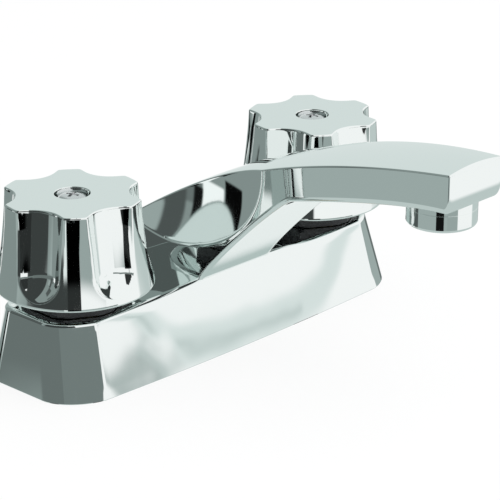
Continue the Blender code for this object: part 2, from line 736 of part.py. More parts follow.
def make_cartridge(name, axis, turn, brass):
    """The housing: a cup over the discs, windows to the chamber, an O-ring groove, and the turn's stop."""
    groove = CARTRIDGE_BORE_RADIUS - 2 * (RING_RADIUS + SEAT_GAP)
    low, high = ring_seat_z() - RING_GROOVE_HEIGHT / 2, ring_seat_z() + RING_GROOVE_HEIGHT / 2
    bore = STEM_RADIUS + SEAT_GAP
    profile = [
        (HOUSING_RADIUS, SEAL_BOTTOM),
        (HOUSING_RADIUS, low),
        (groove, low),
        (groove, high),
        (HOUSING_RADIUS, high),
        (HOUSING_RADIUS, FLANGE_BOTTOM),
        (FLANGE_RADIUS, FLANGE_BOTTOM),
        (FLANGE_RADIUS, FLANGE_TOP),
        (NECK_RADIUS, FLANGE_TOP),
        (NECK_RADIUS, NECK_TOP),
        (bore, NECK_TOP),
        (bore, CAVITY_TOP),
        (HOUSING_CAVITY_RADIUS, CAVITY_TOP),
        (HOUSING_CAVITY_RADIUS, SEAL_BOTTOM),
    ]
    housing = turned(name, profile, brass, axis, closed=True, sides=SMALL_SIDES)
    half = WINDOW_WIDTH / 2
    reach = HOUSING_RADIUS + 2
    window = box(
        f"{name}_window_tool",
        (-reach, -half, TURNING_DISC_TOP - 1.5),
        (reach, half, CAVITY_TOP - 0.5),
        brass,
        axis,
    )
    cut(housing, window)
    swing = LUG_HALF_ANGLE_DEG + STOP_CLEARANCE_DEG
    open_from, open_to = sorted((0.0, turn * QUARTER_TURN_DEG))
    start, end = open_to + swing, open_from - swing + 360
    steps = 14
    angles = [math.radians(mix(start, end, k / steps)) for k in range(steps + 1)]
    outer = [(NECK_RADIUS * math.cos(a), NECK_RADIUS * math.sin(a)) for a in angles]
    inner = [((bore + 0.4) * math.cos(a), (bore + 0.4) * math.sin(a)) for a in reversed(angles)]
    join(housing, prism(f"{name}_stop", outer + inner, NECK_TOP - 1, NECK_TOP + STOP_HEIGHT, brass, axis))
    return housing


def make_bonnet_nut(name, axis, brass):
    """A hexagonal nut over the barrel, whose lip holds the cartridge's flange down."""
    bottom = BASE_HEIGHT + SEAT_GAP
    lip = FLANGE_TOP + SEAT_GAP
    top = lip + NUT_LIP_THICKNESS
    bore, opening = BARREL_RADIUS + SEAT_GAP, NECK_RADIUS + SEAT_GAP
    rings = [
        polygon_ring(6, NUT_ACROSS_FLATS, bottom, ROUND_SIDES * 3 // 4),
        polygon_ring(6, NUT_ACROSS_FLATS, top, ROUND_SIDES * 3 // 4),
    ]
    for radius, z in ((opening, top), (opening, lip), (bore, lip), (bore, bottom)):
        rings.append(circle(radius, z, ROUND_SIDES * 3 // 4))
    return ring_loft(name, rings, brass, axis, closed=True)


def wedge(inner_radius, outer_radius, middle_deg, width_deg, steps=5):
    """The outline of a port in a disc."""
    angles = [math.radians(middle_deg - width_deg / 2 + width_deg * k / steps) for k in range(steps + 1)]
    outer = [(outer_radius * math.cos(a), outer_radius * math.sin(a)) for a in angles]
    return outer + [(inner_radius * math.cos(a), inner_radius * math.sin(a)) for a in reversed(angles)]


def make_disc(name, axis, bottom, ports_at_deg, ceramic):
    """A ceramic disc with two opposite ports."""
    top = bottom + DISC_THICKNESS
    disc = turned(name, [(DISC_RADIUS, bottom), (DISC_RADIUS, top)], ceramic, axis, sides=SMALL_SIDES)
    for k in range(2):
        outline = wedge(PORT_INNER_RADIUS, PORT_OUTER_RADIUS, ports_at_deg + 180 * k, PORT_ANGLE_DEG)
        cut(disc, prism(f"{name}_port_tool_{k + 1}", outline, bottom - 1, top + 1, ceramic, axis))
    return disc


def make_turning_disc(name, axis, ceramic):
    """Its ports are shut off at rest, and a slot in its top takes the stem's driver."""
    disc = make_disc(name, axis, TURNING_DISC_BOTTOM, 90, ceramic)
    half = DRIVER_WIDTH / 2 + SEAT_GAP
    reach = DISC_RADIUS + 1
    low = TURNING_DISC_TOP - DISC_SLOT_DEPTH
    slot = box(f"{name}_slot_tool", (-reach, -half, low), (reach, half, TURNING_DISC_TOP + 1), ceramic, axis)
    cut(disc, slot)
    return disc


def spline_outline(root, tip, teeth):
    """Square-shouldered teeth round a spindle."""
    outline = []
    for k in range(teeth):
        start = 2 * math.pi * k / teeth
        pitch = 2 * math.pi / teeth
        for radius, share in ((root, 0.05), (root, 0.35), (tip, 0.5), (tip, 0.9)):
            angle = start + share * pitch
            outline.append((radius * math.cos(angle), radius * math.sin(angle)))
    return outline


def make_stem(name, axis, brass):
    """Driver bar, round spindle, stop lug and splined end with a tapped hole."""
    spline_bottom = STEM_TOP - SPLINE_LENGTH
    shaft = [(STEM_RADIUS, DRIVER_TOP - 0.5), (STEM_RADIUS, spline_bottom)]
    stem = turned(name, shaft, brass, axis, sides=SMALL_SIDES)
    half = DRIVER_WIDTH / 2
    across_x = math.sqrt(DRIVER_RADIUS**2 - half**2)
    driver = box(
        f"{name}_driver", (-across_x, -half, DRIVER_BOTTOM), (across_x, half, DRIVER_TOP), brass, axis
    )
    join(stem, driver)
    lug = wedge(STEM_RADIUS - 1, LUG_RADIUS, 0, 2 * LUG_HALF_ANGLE_DEG)
    lug_bottom, lug_top = NECK_TOP + SEAT_GAP, NECK_TOP + STOP_HEIGHT
    join(stem, prism(f"{name}_lug", lug, lug_bottom, lug_top, brass, axis))
    spline = spline_outline(SPLINE_ROOT_RADIUS, STEM_RADIUS, SPLINE_TEETH)
    join(stem, prism(f"{name}_spline", spline, spline_bottom - 1, STEM_TOP, brass, axis))
    tap_radius = SCREW_RADIUS + SEAT_GAP
    tap = [(tap_radius, STEM_TOP - STEM_TAP_DEPTH), (tap_radius, STEM_TOP + 1)]
    cut(stem, turned(f"{name}_tap_tool", tap, brass, axis, sides=16))
    return stem


def lobe_radius(share):
    """The flared outline between the scallops. Share is 0 at the knob's top and 1 at its rim."""
    return mix(KNOB_TOP_RADIUS, KNOB_RIM_RADIUS, share**KNOB_FLARE_POWER)


def valley_radius(share):
    """The deepest line of a scallop's straight part, which leans outward going down."""
    foot = lobe_radius(SCALLOP_FOOT_SHARE) - SCALLOP_FOOT_DEPTH
    return mix(KNOB_TOP_RADIUS - SCALLOP_DEPTH, foot, share / SCALLOP_FOOT_SHARE)


def scallop_width(share):
    """The scallop tool's radius at a level. Its end is a ball, so it narrows to nothing below its foot."""
    below = max(share - SCALLOP_FOOT_SHARE, 0.0) * KNOB_HEIGHT
    return math.sqrt(max(SCALLOP_TOOL_RADIUS**2 - below**2, 0.0))


def knob_radius(angle, z):
    """The knob's radius: a flared cone with scallops cut by round tools with ball ends."""
    share = (KNOB_TOP - z) / KNOB_HEIGHT
    lobe = lobe_radius(share)
    pitch = 2 * math.pi / SCALLOPS
    off_valley = (angle - math.radians(LOBE_PHASE_DEG)) % pitch - pitch / 2
    centre = valley_radius(share) + SCALLOP_TOOL_RADIUS
    reach = centre * math.sin(off_valley)
    width = scallop_width(share)
    if abs(reach) >= width:
        return lobe
    scallop = centre * math.cos(off_valley) - math.sqrt(width**2 - reach**2)
    # A smooth minimum rounds the edges of the lobes, and fades out towards the rim
    blend = SCALLOP_BLEND * max(0.0, min(1.0, 1.25 * (1 - share)))
    if blend < 0.05:
        return min(lobe, scallop)
    near = max(blend - abs(lobe - scallop), 0.0) / blend
    return min(lobe, scallop) - near * near * blend / 4


def knob_ring(z, distance):
    """A ring of the knob's outside, moved inward by a distance."""
    count = LOBE_POINTS * SCALLOPS
    ring = []
    for k in range(count):
        angle = 2 * math.pi * k / count + math.radians(LOBE_PHASE_DEG)
        radius = knob_radius(angle, z) - distance
        ring.append((radius * math.cos(angle), radius * math.sin(angle), z))
    return ring


def make_knob(name, axis, chrome):
    """A scalloped metal cap with a splined boss inside and a screw recess on top."""
    rings = [knob_ring(KNOB_BOTTOM, KNOB_EDGE_RADIUS), knob_ring(KNOB_BOTTOM + KNOB_EDGE_RADIUS, 0)]
    levels = (0.95, 0.9, 0.85, 0.79, 0.72, SCALLOP_FOOT_SHARE, 0.48, 0.3, 0.14)
    rings += [knob_ring(KNOB_TOP - share * KNOB_HEIGHT, 0) for share in levels]
    rings += [knob_ring(KNOB_TOP - KNOB_EDGE_RADIUS, 0), knob_ring(KNOB_TOP, KNOB_EDGE_RADIUS)]
    knob = ring_loft(name, rings, chrome, axis)
    lid = KNOB_TOP - KNOB_LID
    hollow = [
        (KNOB_RIM_RADIUS - KNOB_WALL + 0.1, KNOB_BOTTOM - 1),
        (KNOB_RIM_RADIUS - KNOB_WALL, KNOB_BOTTOM),
        (valley_radius(SCALLOP_FOOT_SHARE) - KNOB_WALL, KNOB_TOP - SCALLOP_FOOT_SHARE * KNOB_HEIGHT),
        (valley_radius(KNOB_LID / KNOB_HEIGHT) - KNOB_WALL, lid),
        (KNOB_BOSS_RADIUS, lid),
        (KNOB_BOSS_RADIUS, KNOB_BOSS_START),
        (0.5, KNOB_BOSS_START),
    ]
    cut(knob, turned(f"{name}_hollow_tool", hollow, chrome, axis, sides=36))
    spline = spline_outline(SPLINE_ROOT_RADIUS + SEAT_GAP, STEM_RADIUS + SEAT_GAP, SPLINE_TEETH)
    cut(knob, prism(f"{name}_spline_tool", spline, KNOB_BOSS_START - 1, WEB_BOTTOM, chrome, axis))
    hole_radius = SCREW_RADIUS + SEAT_GAP
    hole = [
        (hole_radius, WEB_BOTTOM - 1),
        (hole_radius, RECESS_FLOOR),
        (RECESS_FLOOR_RADIUS, RECESS_FLOOR),
        (RECESS_RADIUS, KNOB_TOP),
        (RECESS_RADIUS, KNOB_TOP + 1),
    ]
    cut(knob, turned(f"{name}_screw_tool", hole, chrome, axis, sides=SMALL_SIDES))
    return knob


def make_knob_screw(name, axis, steel):
    """A pan-head screw with a cross recess."""
    head_bottom = RECESS_FLOOR + SEAT_GAP
    head_top = head_bottom + SCREW_HEAD_HEIGHT
    end = STEM_TOP - STEM_TAP_DEPTH + SCREW_END_CLEARANCE
    profile = [
        (SCREW_RADIUS - 0.5, end),
        (SCREW_RADIUS, end + 0.5),
        (SCREW_RADIUS, head_bottom),
        (SCREW_HEAD_RADIUS, head_bottom),
        (SCREW_HEAD_RADIUS, head_bottom + 0.55 * SCREW_HEAD_HEIGHT),
        (0.82 * SCREW_HEAD_RADIUS, head_bottom + 0.88 * SCREW_HEAD_HEIGHT),
        (0.45 * SCREW_HEAD_RADIUS, head_top),
    ]
    screw = turned(name, profile, steel, axis, sides=SMALL_SIDES)
    for k, (half_x, half_y) in enumerate(((CROSS_LENGTH, CROSS_WIDTH), (CROSS_WIDTH, CROSS_LENGTH))):
        low = (-half_x / 2, -half_y / 2, head_top - CROSS_DEPTH)
        high = (half_x / 2, half_y / 2, head_top + 1)
        cut(screw, box(f"{name}_cross_tool_{k + 1}", low, high, steel, axis))
    return screw


def make_shank_washer(name, axis, steel):
    top = -DECK_THICKNESS
    bottom = top - WASHER_THICKNESS
    bore = SHANK_RADIUS + SEAT_GAP
    profile = [(WASHER_RADIUS, bottom), (WASHER_RADIUS, top), (bore, top), (bore, bottom)]
    return turned(name, profile, steel, axis, closed=True)


def make_shank_nut(name, axis, plastic):
    """A moulded nut with wings for the fingers."""
    top = -DECK_THICKNESS - WASHER_THICKNESS - SEAT_GAP
    bottom = top - SHANK_NUT_HEIGHT
    collar = top - 0.3 * SHANK_NUT_HEIGHT
    count = SHANK_NUT_WINGS * 10
    wings = []
    for k in range(count):
        in_wing = k % 10 in (0, 1, 9)
        radius = SHANK_NUT_WING_RADIUS if in_wing else SHANK_NUT_HUB_RADIUS
        angle = 2 * math.pi * k / count
        if k % 10 in (1, 9):
            # A wing's two side faces are parallel
            near = 2 * math.pi * round(k / 10) * 10 / count
            angle = near + (angle - near) * 0.62
        wings.append((radius * math.cos(angle), radius * math.sin(angle)))
    rings = [
        [(x, y, bottom) for x, y in wings],
        [(x, y, collar) for x, y in wings],
        circle(SHANK_NUT_HUB_RADIUS, collar + 0.5, count),
        circle(SHANK_NUT_HUB_RADIUS, top, count),
        circle(SHANK_RADIUS + SEAT_GAP, top, count),
        circle(SHANK_RADIUS + SEAT_GAP, bottom, count),
    ]
    return ring_loft(name, rings, plastic, axis, closed=True)


def make_aerator_housing(chrome):
    """A plain cap on the nipple, with a lip that holds the insert."""
    bottom = aerator_bottom()
    bore = NIPPLE_RADIUS + SEAT_GAP
    profile = [
        (AERATOR_RADIUS - AERATOR_CHAMFER, bottom),
        (AERATOR_RADIUS, bottom + AERATOR_CHAMFER),
        (AERATOR_RADIUS, bottom + AERATOR_HEIGHT),
        (bore, bottom + AERATOR_HEIGHT),
        (bore, bottom + AERATOR_LIP_THICKNESS),
        (AERATOR_LIP_RADIUS, bottom + AERATOR_LIP_THICKNESS),
        (AERATOR_LIP_RADIUS, bottom),
    ]
    return turned("aerator_housing", profile, chrome, closed=True, y=AERATOR_Y)


def make_aerator_insert(plastic):
    """A moulded flow straightener with a flange below: a rim crossed by two sets of bars."""
    bottom = insert_bottom()
    top = bottom + INSERT_HEIGHT
    radius = OUTLET_HOLE_RADIUS - SEAT_GAP
    profile = [
        (NIPPLE_RADIUS, bottom),
        (NIPPLE_RADIUS, bottom + INSERT_FLANGE),
        (radius, bottom + INSERT_FLANGE),
        (radius, top),
    ]
    insert = turned("aerator_insert", profile, plastic, y=AERATOR_Y, sides=SMALL_SIDES)
    cell = INSERT_BAR_PITCH - INSERT_BAR
    reach = radius - INSERT_RIM
    rows = int(reach // INSERT_BAR_PITCH) + 1
    for row in range(-rows, rows + 1):
        for column in range(-rows, rows + 1):
            x, y = row * INSERT_BAR_PITCH, column * INSERT_BAR_PITCH
            if math.hypot(abs(x) + cell / 2, abs(y) + cell / 2) > reach:
                continue
            low = (x - cell / 2, AERATOR_Y + y - cell / 2, bottom - 1)
            high = (x + cell / 2, AERATOR_Y + y + cell / 2, top + 1)
            cut(insert, box(f"insert_cell_tool_{row + rows}_{column + rows}", low, high, plastic))
    return insert


def make_aerator_washer(rubber):
    """A flat ring between the insert's flange and the nipple."""
    bottom = aerator_washer_bottom()
    top = bottom + AERATOR_WASHER_THICKNESS
    profile = [
        (NIPPLE_RADIUS, bottom),
        (NIPPLE_RADIUS, top),
        (OUTLET_HOLE_RADIUS, top),
        (OUTLET_HOLE_RADIUS, bottom),
    ]
    return turned("aerator_washer", profile, rubber, closed=True, y=AERATOR_Y, sides=SMALL_SIDES)


def make_axis(name, side):
    """An empty on the upright axis of one handle."""
    axis = bpy.data.objects.new(name, None)
    axis.location = (side * HANDLE_X * MM, 0.0, 0.0)
    bpy.context.scene.collection.objects.link(axis)
    return axis


def make_valve(water, side, turn, finishes):
    """Everything on one handle's axis. Turn is +1 where the valve opens counterclockwise."""
    axis = make_axis(f"{water}_axis", side)
    make_valve_body(f"{water}_valve_body", axis, side, finishes["brass"])
    make_cross_tube(f"{water}_tube", side, finishes["copper"])
    seal = [
        (DISC_RADIUS, SEAL_BOTTOM),
        (DISC_RADIUS, SEAL_BOTTOM + SEAL_THICKNESS),
        (PORT_OUTER_RADIUS, SEAL_BOTTOM + SEAL_THICKNESS),
        (PORT_OUTER_RADIUS, SEAL_BOTTOM),
    ]
    turned(f"{water}_seat_seal", seal, finishes["rubber"], axis, closed=True, sides=SMALL_SIDES)
    make_disc(f"{water}_fixed_disc", axis, FIXED_DISC_BOTTOM, 0, finishes["ceramic"])
    make_turning_disc(f"{water}_turning_disc", axis, finishes["ceramic"])
    make_cartridge(f"{water}_cartridge", axis, turn, finishes["brass"])
    ring_centre = CARTRIDGE_BORE_RADIUS - SEAT_GAP - RING_RADIUS
    make_o_ring(f"{water}_cartridge_ring", ring_centre, RING_RADIUS, ring_seat_z(), finishes["rubber"], axis)
    make_bonnet_nut(f"{water}_bonnet_nut", axis, finishes["plastic"])
    make_stem(f"{water}_stem", axis, finishes["brass"])
    make_knob(f"{water}_knob", axis, finishes["chrome"])
    make_knob_screw(f"{water}_knob_screw", axis, finishes["steel"])
    make_shank_washer(f"{water}_shank_washer", axis, finishes["steel"])
    make_shank_nut(f"{water}_shank_nut", axis, finishes["plastic"])


def main():
    clear_scene()
    finishes = {
        "chrome": make_material("chrome", (0.86, 0.9, 0.89), 0.04, 1.0),
        "brass": make_material("brass", (0.78, 0.6, 0.3), 0.3, 1.0),
        "copper": make_material("copper", (0.85, 0.5, 0.36), 0.3, 1.0),
        "steel": make_material("steel", (0.72, 0.73, 0.74), 0.25, 1.0),
        "rubber": make_material("rubber", (0.03, 0.03, 0.03), 0.7, 0.0),
        "ceramic": make_material("ceramic", (0.92, 0.92, 0.9), 0.2, 0.0),
        "plastic": make_material("plastic", (0.16, 0.17, 0.18), 0.5, 0.0),
        "white_plastic": make_material("white_plastic", (0.85, 0.86, 0.86), 0.4, 0.0),
    }
    make_base_spout(finishes["chrome"])
    make_base_plate(finishes["plastic"])
    make_tee(finishes["brass"])
    ring_centre = RISER_RADIUS + SEAT_GAP - SEAT_GAP - SPOUT_RING_RADIUS
    make_o_ring("spout_ring", ring_centre, SPOUT_RING_RADIUS, RISER_RING_HEIGHT, finishes["rubber"])
    make_aerator_housing(finishes["chrome"])
    make_aerator_insert(finishes["white_plastic"])
    make_aerator_washer(finishes["rubber"])
    make_valve("hot", -1, 1, finishes)
    make_valve("cold", 1, -1, finishes)


main()
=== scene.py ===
"""Looks for a chromed centerset basin faucet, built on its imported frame.

X runs through the two handles, the spout points to -Y, and Z = 0 is the deck. The sizes of the pieces are
properties in metres, and the shapes are worked out in millimetres.
"""

import json
import math
from functools import partial
from types import SimpleNamespace

import bmesh
import bpy
from bpy.props import FloatProperty, FloatVectorProperty, IntProperty, PointerProperty
from bpy.types import Operator, Panel, PropertyGroup
from mathutils import Matrix, Vector


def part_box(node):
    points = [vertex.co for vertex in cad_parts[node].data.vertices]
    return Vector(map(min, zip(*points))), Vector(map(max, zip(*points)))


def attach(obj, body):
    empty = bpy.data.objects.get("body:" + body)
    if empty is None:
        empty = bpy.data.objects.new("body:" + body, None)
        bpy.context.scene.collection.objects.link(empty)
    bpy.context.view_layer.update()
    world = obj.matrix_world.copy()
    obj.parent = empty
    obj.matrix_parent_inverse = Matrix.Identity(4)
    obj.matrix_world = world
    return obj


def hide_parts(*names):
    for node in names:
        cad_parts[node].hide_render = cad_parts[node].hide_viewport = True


bl_info = {
    "name": "Centerset Basin Faucet",
    "version": (1, 0, 0),
    "blender": (4, 5, 0),
    "location": "View3D > Sidebar > Faucet",
    "description": "Dresses a basin faucet's frame with its chromed, moulded and machined pieces",
    "category": "Add Mesh",
}

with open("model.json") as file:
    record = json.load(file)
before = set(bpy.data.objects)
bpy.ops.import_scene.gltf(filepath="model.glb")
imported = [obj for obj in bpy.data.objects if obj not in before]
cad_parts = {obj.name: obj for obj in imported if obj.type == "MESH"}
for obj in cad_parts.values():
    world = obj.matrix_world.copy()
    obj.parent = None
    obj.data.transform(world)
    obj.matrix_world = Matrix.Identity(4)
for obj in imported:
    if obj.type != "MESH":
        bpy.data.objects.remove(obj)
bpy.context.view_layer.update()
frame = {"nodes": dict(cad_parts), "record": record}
MM = 0.001
WHITE = (1.0, 1.0, 1.0)

# How far the shanks' threads run below the deck, in millimetres
THREAD_START = 3.0
THREAD_END = 47.0
# Between a shank and the washer and nut that clamp it
CLAMP_GAP = 0.3
# How far the screws' crosses are turned
CROSS_TURN = math.radians(20)
# From how light a panel looks on screen to its strength, for chrome that mirrors this share of the light
SCREEN_POWER = 2.2
CHROME_SHARE = 0.88


def length(name, description, millimetres):
    return FloatProperty(
        name=name, description=description, default=millimetres * MM, unit="LENGTH", precision=4
    )


def low_and_top(name, description, low, top):
    """Two lengths of the base, on the deck and at its top."""
    return FloatVectorProperty(
        name=name,
        description=description + ", at the deck and at the top",
        default=(low * MM, top * MM),
        size=2,
        unit="LENGTH",
        precision=4,
    )


def angle(name, description, degrees):
    return FloatProperty(name=name, description=description, default=math.radians(degrees), subtype="ANGLE")


def colour(name, description, value):
    return FloatVectorProperty(
        name=name, description=description, default=value, size=3, subtype="COLOR", min=0.0, max=1.0
    )


def number(name, description, value):
    return FloatProperty(name=name, description=description, default=value, subtype="FACTOR")


class FaucetBaseSizes(PropertyGroup):
    """The flared base, from its outline on the deck to the smaller one at its top."""

    handle_centres: length("Handle centres", "Distance between the two handles' axes", 101.6)
    height: length("Height", "Height of the base's flat ends", 22.8)
    crown: length("Crown", "How far the middle of the top stands above its ends", 1.0)
    crown_end: length("Crown end", "Where the crown ends, measured back from the handle's axis", 15.0)
    wall: length("Wall", "Thickness of the casting", 2.8)
    edge: length("Top edge", "Radius of the edge round the top", 1.2)
    crease_edge: length("Crease edge", "Radius of the crease at each front corner", 0.5)
    crease: low_and_top("Crease", "Crease beyond the handle's axis", 7.5, 6.2)
    end: low_and_top("End", "End face beyond the handle's axis", 21.6, 17.4)
    front: low_and_top("Front", "Depth of the front face", 21.3, 15.5)
    rear: low_and_top("Rear", "Depth of the rear face", 20.5, 15.5)
    bow: low_and_top("Front bow", "How far the front face bows out", 1.5, 0.3)
    corner: low_and_top("Rear corner", "Radius of the rear corners", 10.0, 7.0)


class FaucetSpoutSizes(PropertyGroup):
    """The pedestal and the arm, in side view and across."""

    reach: length("Reach", "From the handles' line to the end of the spout", 106.7)
    tip_top: length("Tip top", "Height of the tip's upper edge", 78.0)
    tip_height: length("Tip height", "Height of the arm at its tip", 11.5)
    tip_half: length("Tip half-width", "Half the width of the tip", 11.3)
    neck_half: length("Neck half-width", "Half the width of the pedestal", 15.3)
    rear_height: length("Rear height", "Height of the pedestal's rear edge", 36.6)
    crown: length("Crown", "How far the top rounds up across the arm", 1.1)
    lower_round: length("Lower edge", "Radius of the arm's lower edges", 1.8)
    upper_round: length("Upper edge", "Radius of the arm's upper edges", 0.5)
    tip_round_depth: length("Tip round depth", "Depth of the round under the tip", 1.6)
    tip_round_height: length("Tip round height", "Height of the round under the tip", 4.5)
    bend_reach: length("Bend reach", "Where the neck turns into the arm", 52.0)
    bend_height: length("Bend height", "Height of the underside at the bend", 57.3)
    taper: FloatProperty(name="Taper", description="How late the arm narrows", default=1.7, min=1.0)
    scoop_depth: length("Scoop depth", "Depth of the scoop in each side", 6.0)
    scoop_half_length: length("Scoop half-length", "Half the length of the scoop", 37.5)
    scoop_half_height: length("Scoop half-height", "Half the height of the whole scoop", 30.0)
    scoop_y: length("Scoop Y", "Middle of the scoop along the faucet's depth", -4.0)
    scoop_z: length("Scoop Z", "Middle of the scoop's height", 63.0)
    scoop_ball: length("Scoop ball", "Radius of the ball that cuts the scoop", 30.0)
    scoop_edge: length("Scoop edge", "Softness of the scoop's rim", 0.3)


class FaucetKnobSizes(PropertyGroup):
    """The scalloped knobs and their screws."""

    top: length("Top", "Height of the knob's flat top", 56.4)
    height: length("Height", "Height of the knob", 27.7)
    top_radius: length("Top radius", "Radius over the lobes at the top", 20.9)
    rim_radius: length("Rim radius", "Radius at the rim", 23.5)
    flare: FloatProperty(name="Flare", description="How late the knob widens", default=1.5, min=1.0)
    edge: length("Edge", "Radius of the edges at top and rim", 0.6)
    wall: length("Wall", "Thickness of the knob's wall", 2.5)
    lid: length("Lid", "Thickness of the knob's top", 4.0)
    scallops: IntProperty(name="Scallops", description="Number of scallops round the knob", default=6, min=3)
    tool_radius: length("Scallop radius", "Radius of each scallop", 9.5)
    depth: length("Scallop depth", "Depth of each scallop at the top", 4.4)
    foot_depth: length("Foot depth", "Depth of each scallop at the middle of its round end", 3.5)
    foot_share: number("Foot", "Middle of the scallops' round ends, from 0 at the top to 1 at the rim", 0.65)
    blend: length("Lobe edge", "Softness of the edges between lobes and scallops", 3.4)
    turn: angle("Turn", "Angle of the first lobe from the line of the handles", -9.0)
    recess_radius: length("Recess radius", "Radius of the screw's recess", 5.2)
    recess_floor: length("Recess floor radius", "Radius of the recess at its floor", 4.8)
    recess_depth: length("Recess depth", "Depth of the recess", 3.0)
    boss_radius: length("Boss radius", "Radius of the boss inside", 7.0)
    boss_start: length("Boss start", "Height of the boss's lower end", 36.0)
    screw_radius: length("Screw head radius", "Radius of the screw's head", 4.3)
    cross_length: length("Cross length", "Length of the screw's cross recess", 4.8)
    cross_width: length("Cross width", "Width of the screw's cross recess", 1.0)


class FaucetFittingSizes(PropertyGroup):
    """The aerator cap, the nuts, and what clamps the faucet below the deck."""

    cap_chamfer: length("Cap chamfer", "Chamfer round the aerator cap's mouth", 0.9)
    nut_flats: length("Nut across flats", "Width of the hexagonal nuts", 27.0)
    thread_pitch: length("Thread pitch", "Rise of the shank's thread in one turn", 1.8)
    thread_height: length("Thread height", "How far the thread stands out", 0.25)
    shank_radius: length("Shank radius", "Radius of the threaded shank", 10.3)
    wing_width: length("Wing width", "Thickness of the clamping nut's wings", 5.5)
    wings: IntProperty(name="Wings", description="Number of wings on each clamping nut", default=4, min=2)


class FaucetFinishes(PropertyGroup):
    """Colours of the finishes."""

    chrome: colour("Chrome", "Polished plating", (0.86, 0.9, 0.89))
    brass: colour("Brass", "Machined brass", (0.78, 0.6, 0.3))
    copper: colour("Copper", "Drawn copper tube", (0.85, 0.5, 0.36))
    steel: colour("Steel", "Bright stainless steel", (0.72, 0.73, 0.74))
    rubber: colour("Rubber", "Moulded seals", (0.03, 0.03, 0.03))
    ceramic: colour("Ceramic", "Lapped discs", (0.92, 0.92, 0.9))
    # Partly the plastic's own dark colour and partly painted shade: it is darkened so that the bonnet nuts in
    # the gap under the knobs read as that gap's shadow
    plastic: colour("Plastic", "Dark moulded plastic", (0.035, 0.037, 0.04))
    white_plastic: colour("White plastic", "Pale moulded plastic", (0.85, 0.86, 0.86))


class FaucetStudio(PropertyGroup):
    """The floor, the light tent and the camera."""

    floor: colour("Floor", "Colour of the floor", (0.9, 0.91, 0.91))
    tent: colour("Tent", "Colour of the light tent in reflections", (1.0, 1.0, 1.0))
    tint: colour("Tint", "Cool tint of the tent's grey panels", (0.84, 1.0, 0.97))
    azimuth: angle("Azimuth", "Camera's turn round the faucet from the front", -45.7)
    elevation: angle("Elevation", "Camera's angle above the deck", 21.64)
    distance: length("Distance", "From the camera to the point that it looks at", 690.7)
    target_x: length("Target X", "Point that the camera looks at", 22.47)
    target_z: length("Target Z", "Point that the camera looks at", 17.88)
    lens: FloatProperty(name="Lens", description="Focal length", default=157.1, unit="CAMERA")


def plain(group):
    """A group's sizes as plain numbers, lengths in millimetres and angles in radians."""
    found = {}
    for prop in group.bl_rna.properties:
        if prop.identifier in ("rna_type", "name"):
            continue
        value = getattr(group, prop.identifier)
        if getattr(prop, "unit", "NONE") == "LENGTH":
            value = [part / MM for part in value] if prop.is_array else value / MM
        found[prop.identifier] = value
    return SimpleNamespace(**found)


def mix(low, high, share):
    return low + (high - low) * share


def spread(start, end, count):
    """Count steps from start, without the end itself."""
    return [mix(start, end, k / count) for k in range(count)]


def smooth_min(first, second, width):
    """The smaller of two values, with a rounded change from one to the other."""
    near = max(width - abs(first - second), 0.0) / width
    return min(first, second) - near * near * width / 4


def curve(points, share):
    """A point of a quadratic or cubic curve in the plane."""
    while len(points) > 1:
        points = [(mix(a[0], b[0], share), mix(a[1], b[1], share)) for a, b in zip(points, points[1:])]
    return points[0]


def trace(points, count):
    """Points along a curve, from its start to its end in equal steps."""
    return [curve(points, k / count) for k in range(count + 1)]


def between(start, end, *shares):
    """A curve's points from start to end, the middle ones by their shares of the run and of the rise."""
    middle = [(mix(start[0], end[0], run), mix(start[1], end[1], rise)) for run, rise in shares]
    return [start, *middle, end]


def arc(count):
    """Sine and one minus cosine of the steps of a quarter turn."""
    steps = [math.radians(90 * k / count) for k in range(count + 1)]
    return [(math.sin(step), 1 - math.cos(step)) for step in steps]


def inset(outline, distance):
    """Moves a counterclockwise outline inward by a distance."""
    moved = []
    for before, point, after in zip(outline[-1:] + outline[:-1], outline, outline[1:] + outline[:1]):
        normals = []
        for start, end in ((before, point), (point, after)):
            dx, dy = end[0] - start[0], end[1] - start[1]
            size = math.hypot(dx, dy)
            normals.append((-dy / size, dx / size))
        nx, ny = normals[0][0] + normals[1][0], normals[0][1] + normals[1][1]
        scale = 2 * distance / (nx * nx + ny * ny)
        moved.append((point[0] + nx * scale, point[1] + ny * scale))
    return moved


def circle(radius, z, sides, x=0.0, y=0.0):
    """A ring round an upright axis, counterclockwise from above."""
    step = 2 * math.pi / sides
    return [(x + radius * math.cos(k * step), y + radius * math.sin(k * step), z) for k in range(sides)]


def add_loft(builder, rings, closed=False, ends=True):
    """Skins rings of equal length into a bmesh, and returns the loops of its points."""
    loops = [[builder.verts.new(point) for point in ring] for ring in rings]
    pairs = list(zip(loops, loops[1:]))
    if closed:
        pairs.append((loops[-1], loops[0]))
    count = len(loops[0])
    for low, high in pairs:
        for k in range(count):
            after = (k + 1) % count
            builder.faces.new((low[k], low[after], high[after], high[k]))
    if ends and not closed:
        builder.faces.new(loops[0][::-1])
        builder.faces.new(loops[-1])
    return loops


def add_turned(builder, profile, closed=False, sides=96, x=0.0, y=0.0):
    """Turns (radius, height) pairs round an upright axis into a bmesh."""
    return add_loft(builder, [circle(radius, z, sides, x, y) for radius, z in profile], closed)


def to_mesh(name, builder, material):
    """A smooth mesh in metres from a bmesh in millimetres, with its faces pointing out."""
    bmesh.ops.recalc_face_normals(builder, faces=builder.faces)
    bmesh.ops.scale(builder, vec=(MM, MM, MM), verts=builder.verts)
    mesh = bpy.data.meshes.new(name)
    builder.to_mesh(mesh)
    builder.free()
    mesh.materials.append(material)
    mesh.shade_smooth()
    return mesh


def new_object(name, data):
    made = bpy.data.objects.new(name, data)
    bpy.context.scene.collection.objects.link(made)
    return made


def new_piece(name, builder, slot):
    """A piece from a bmesh, in the finish of its slot."""
    return new_object(name, to_mesh(name, builder, finish(slot)))


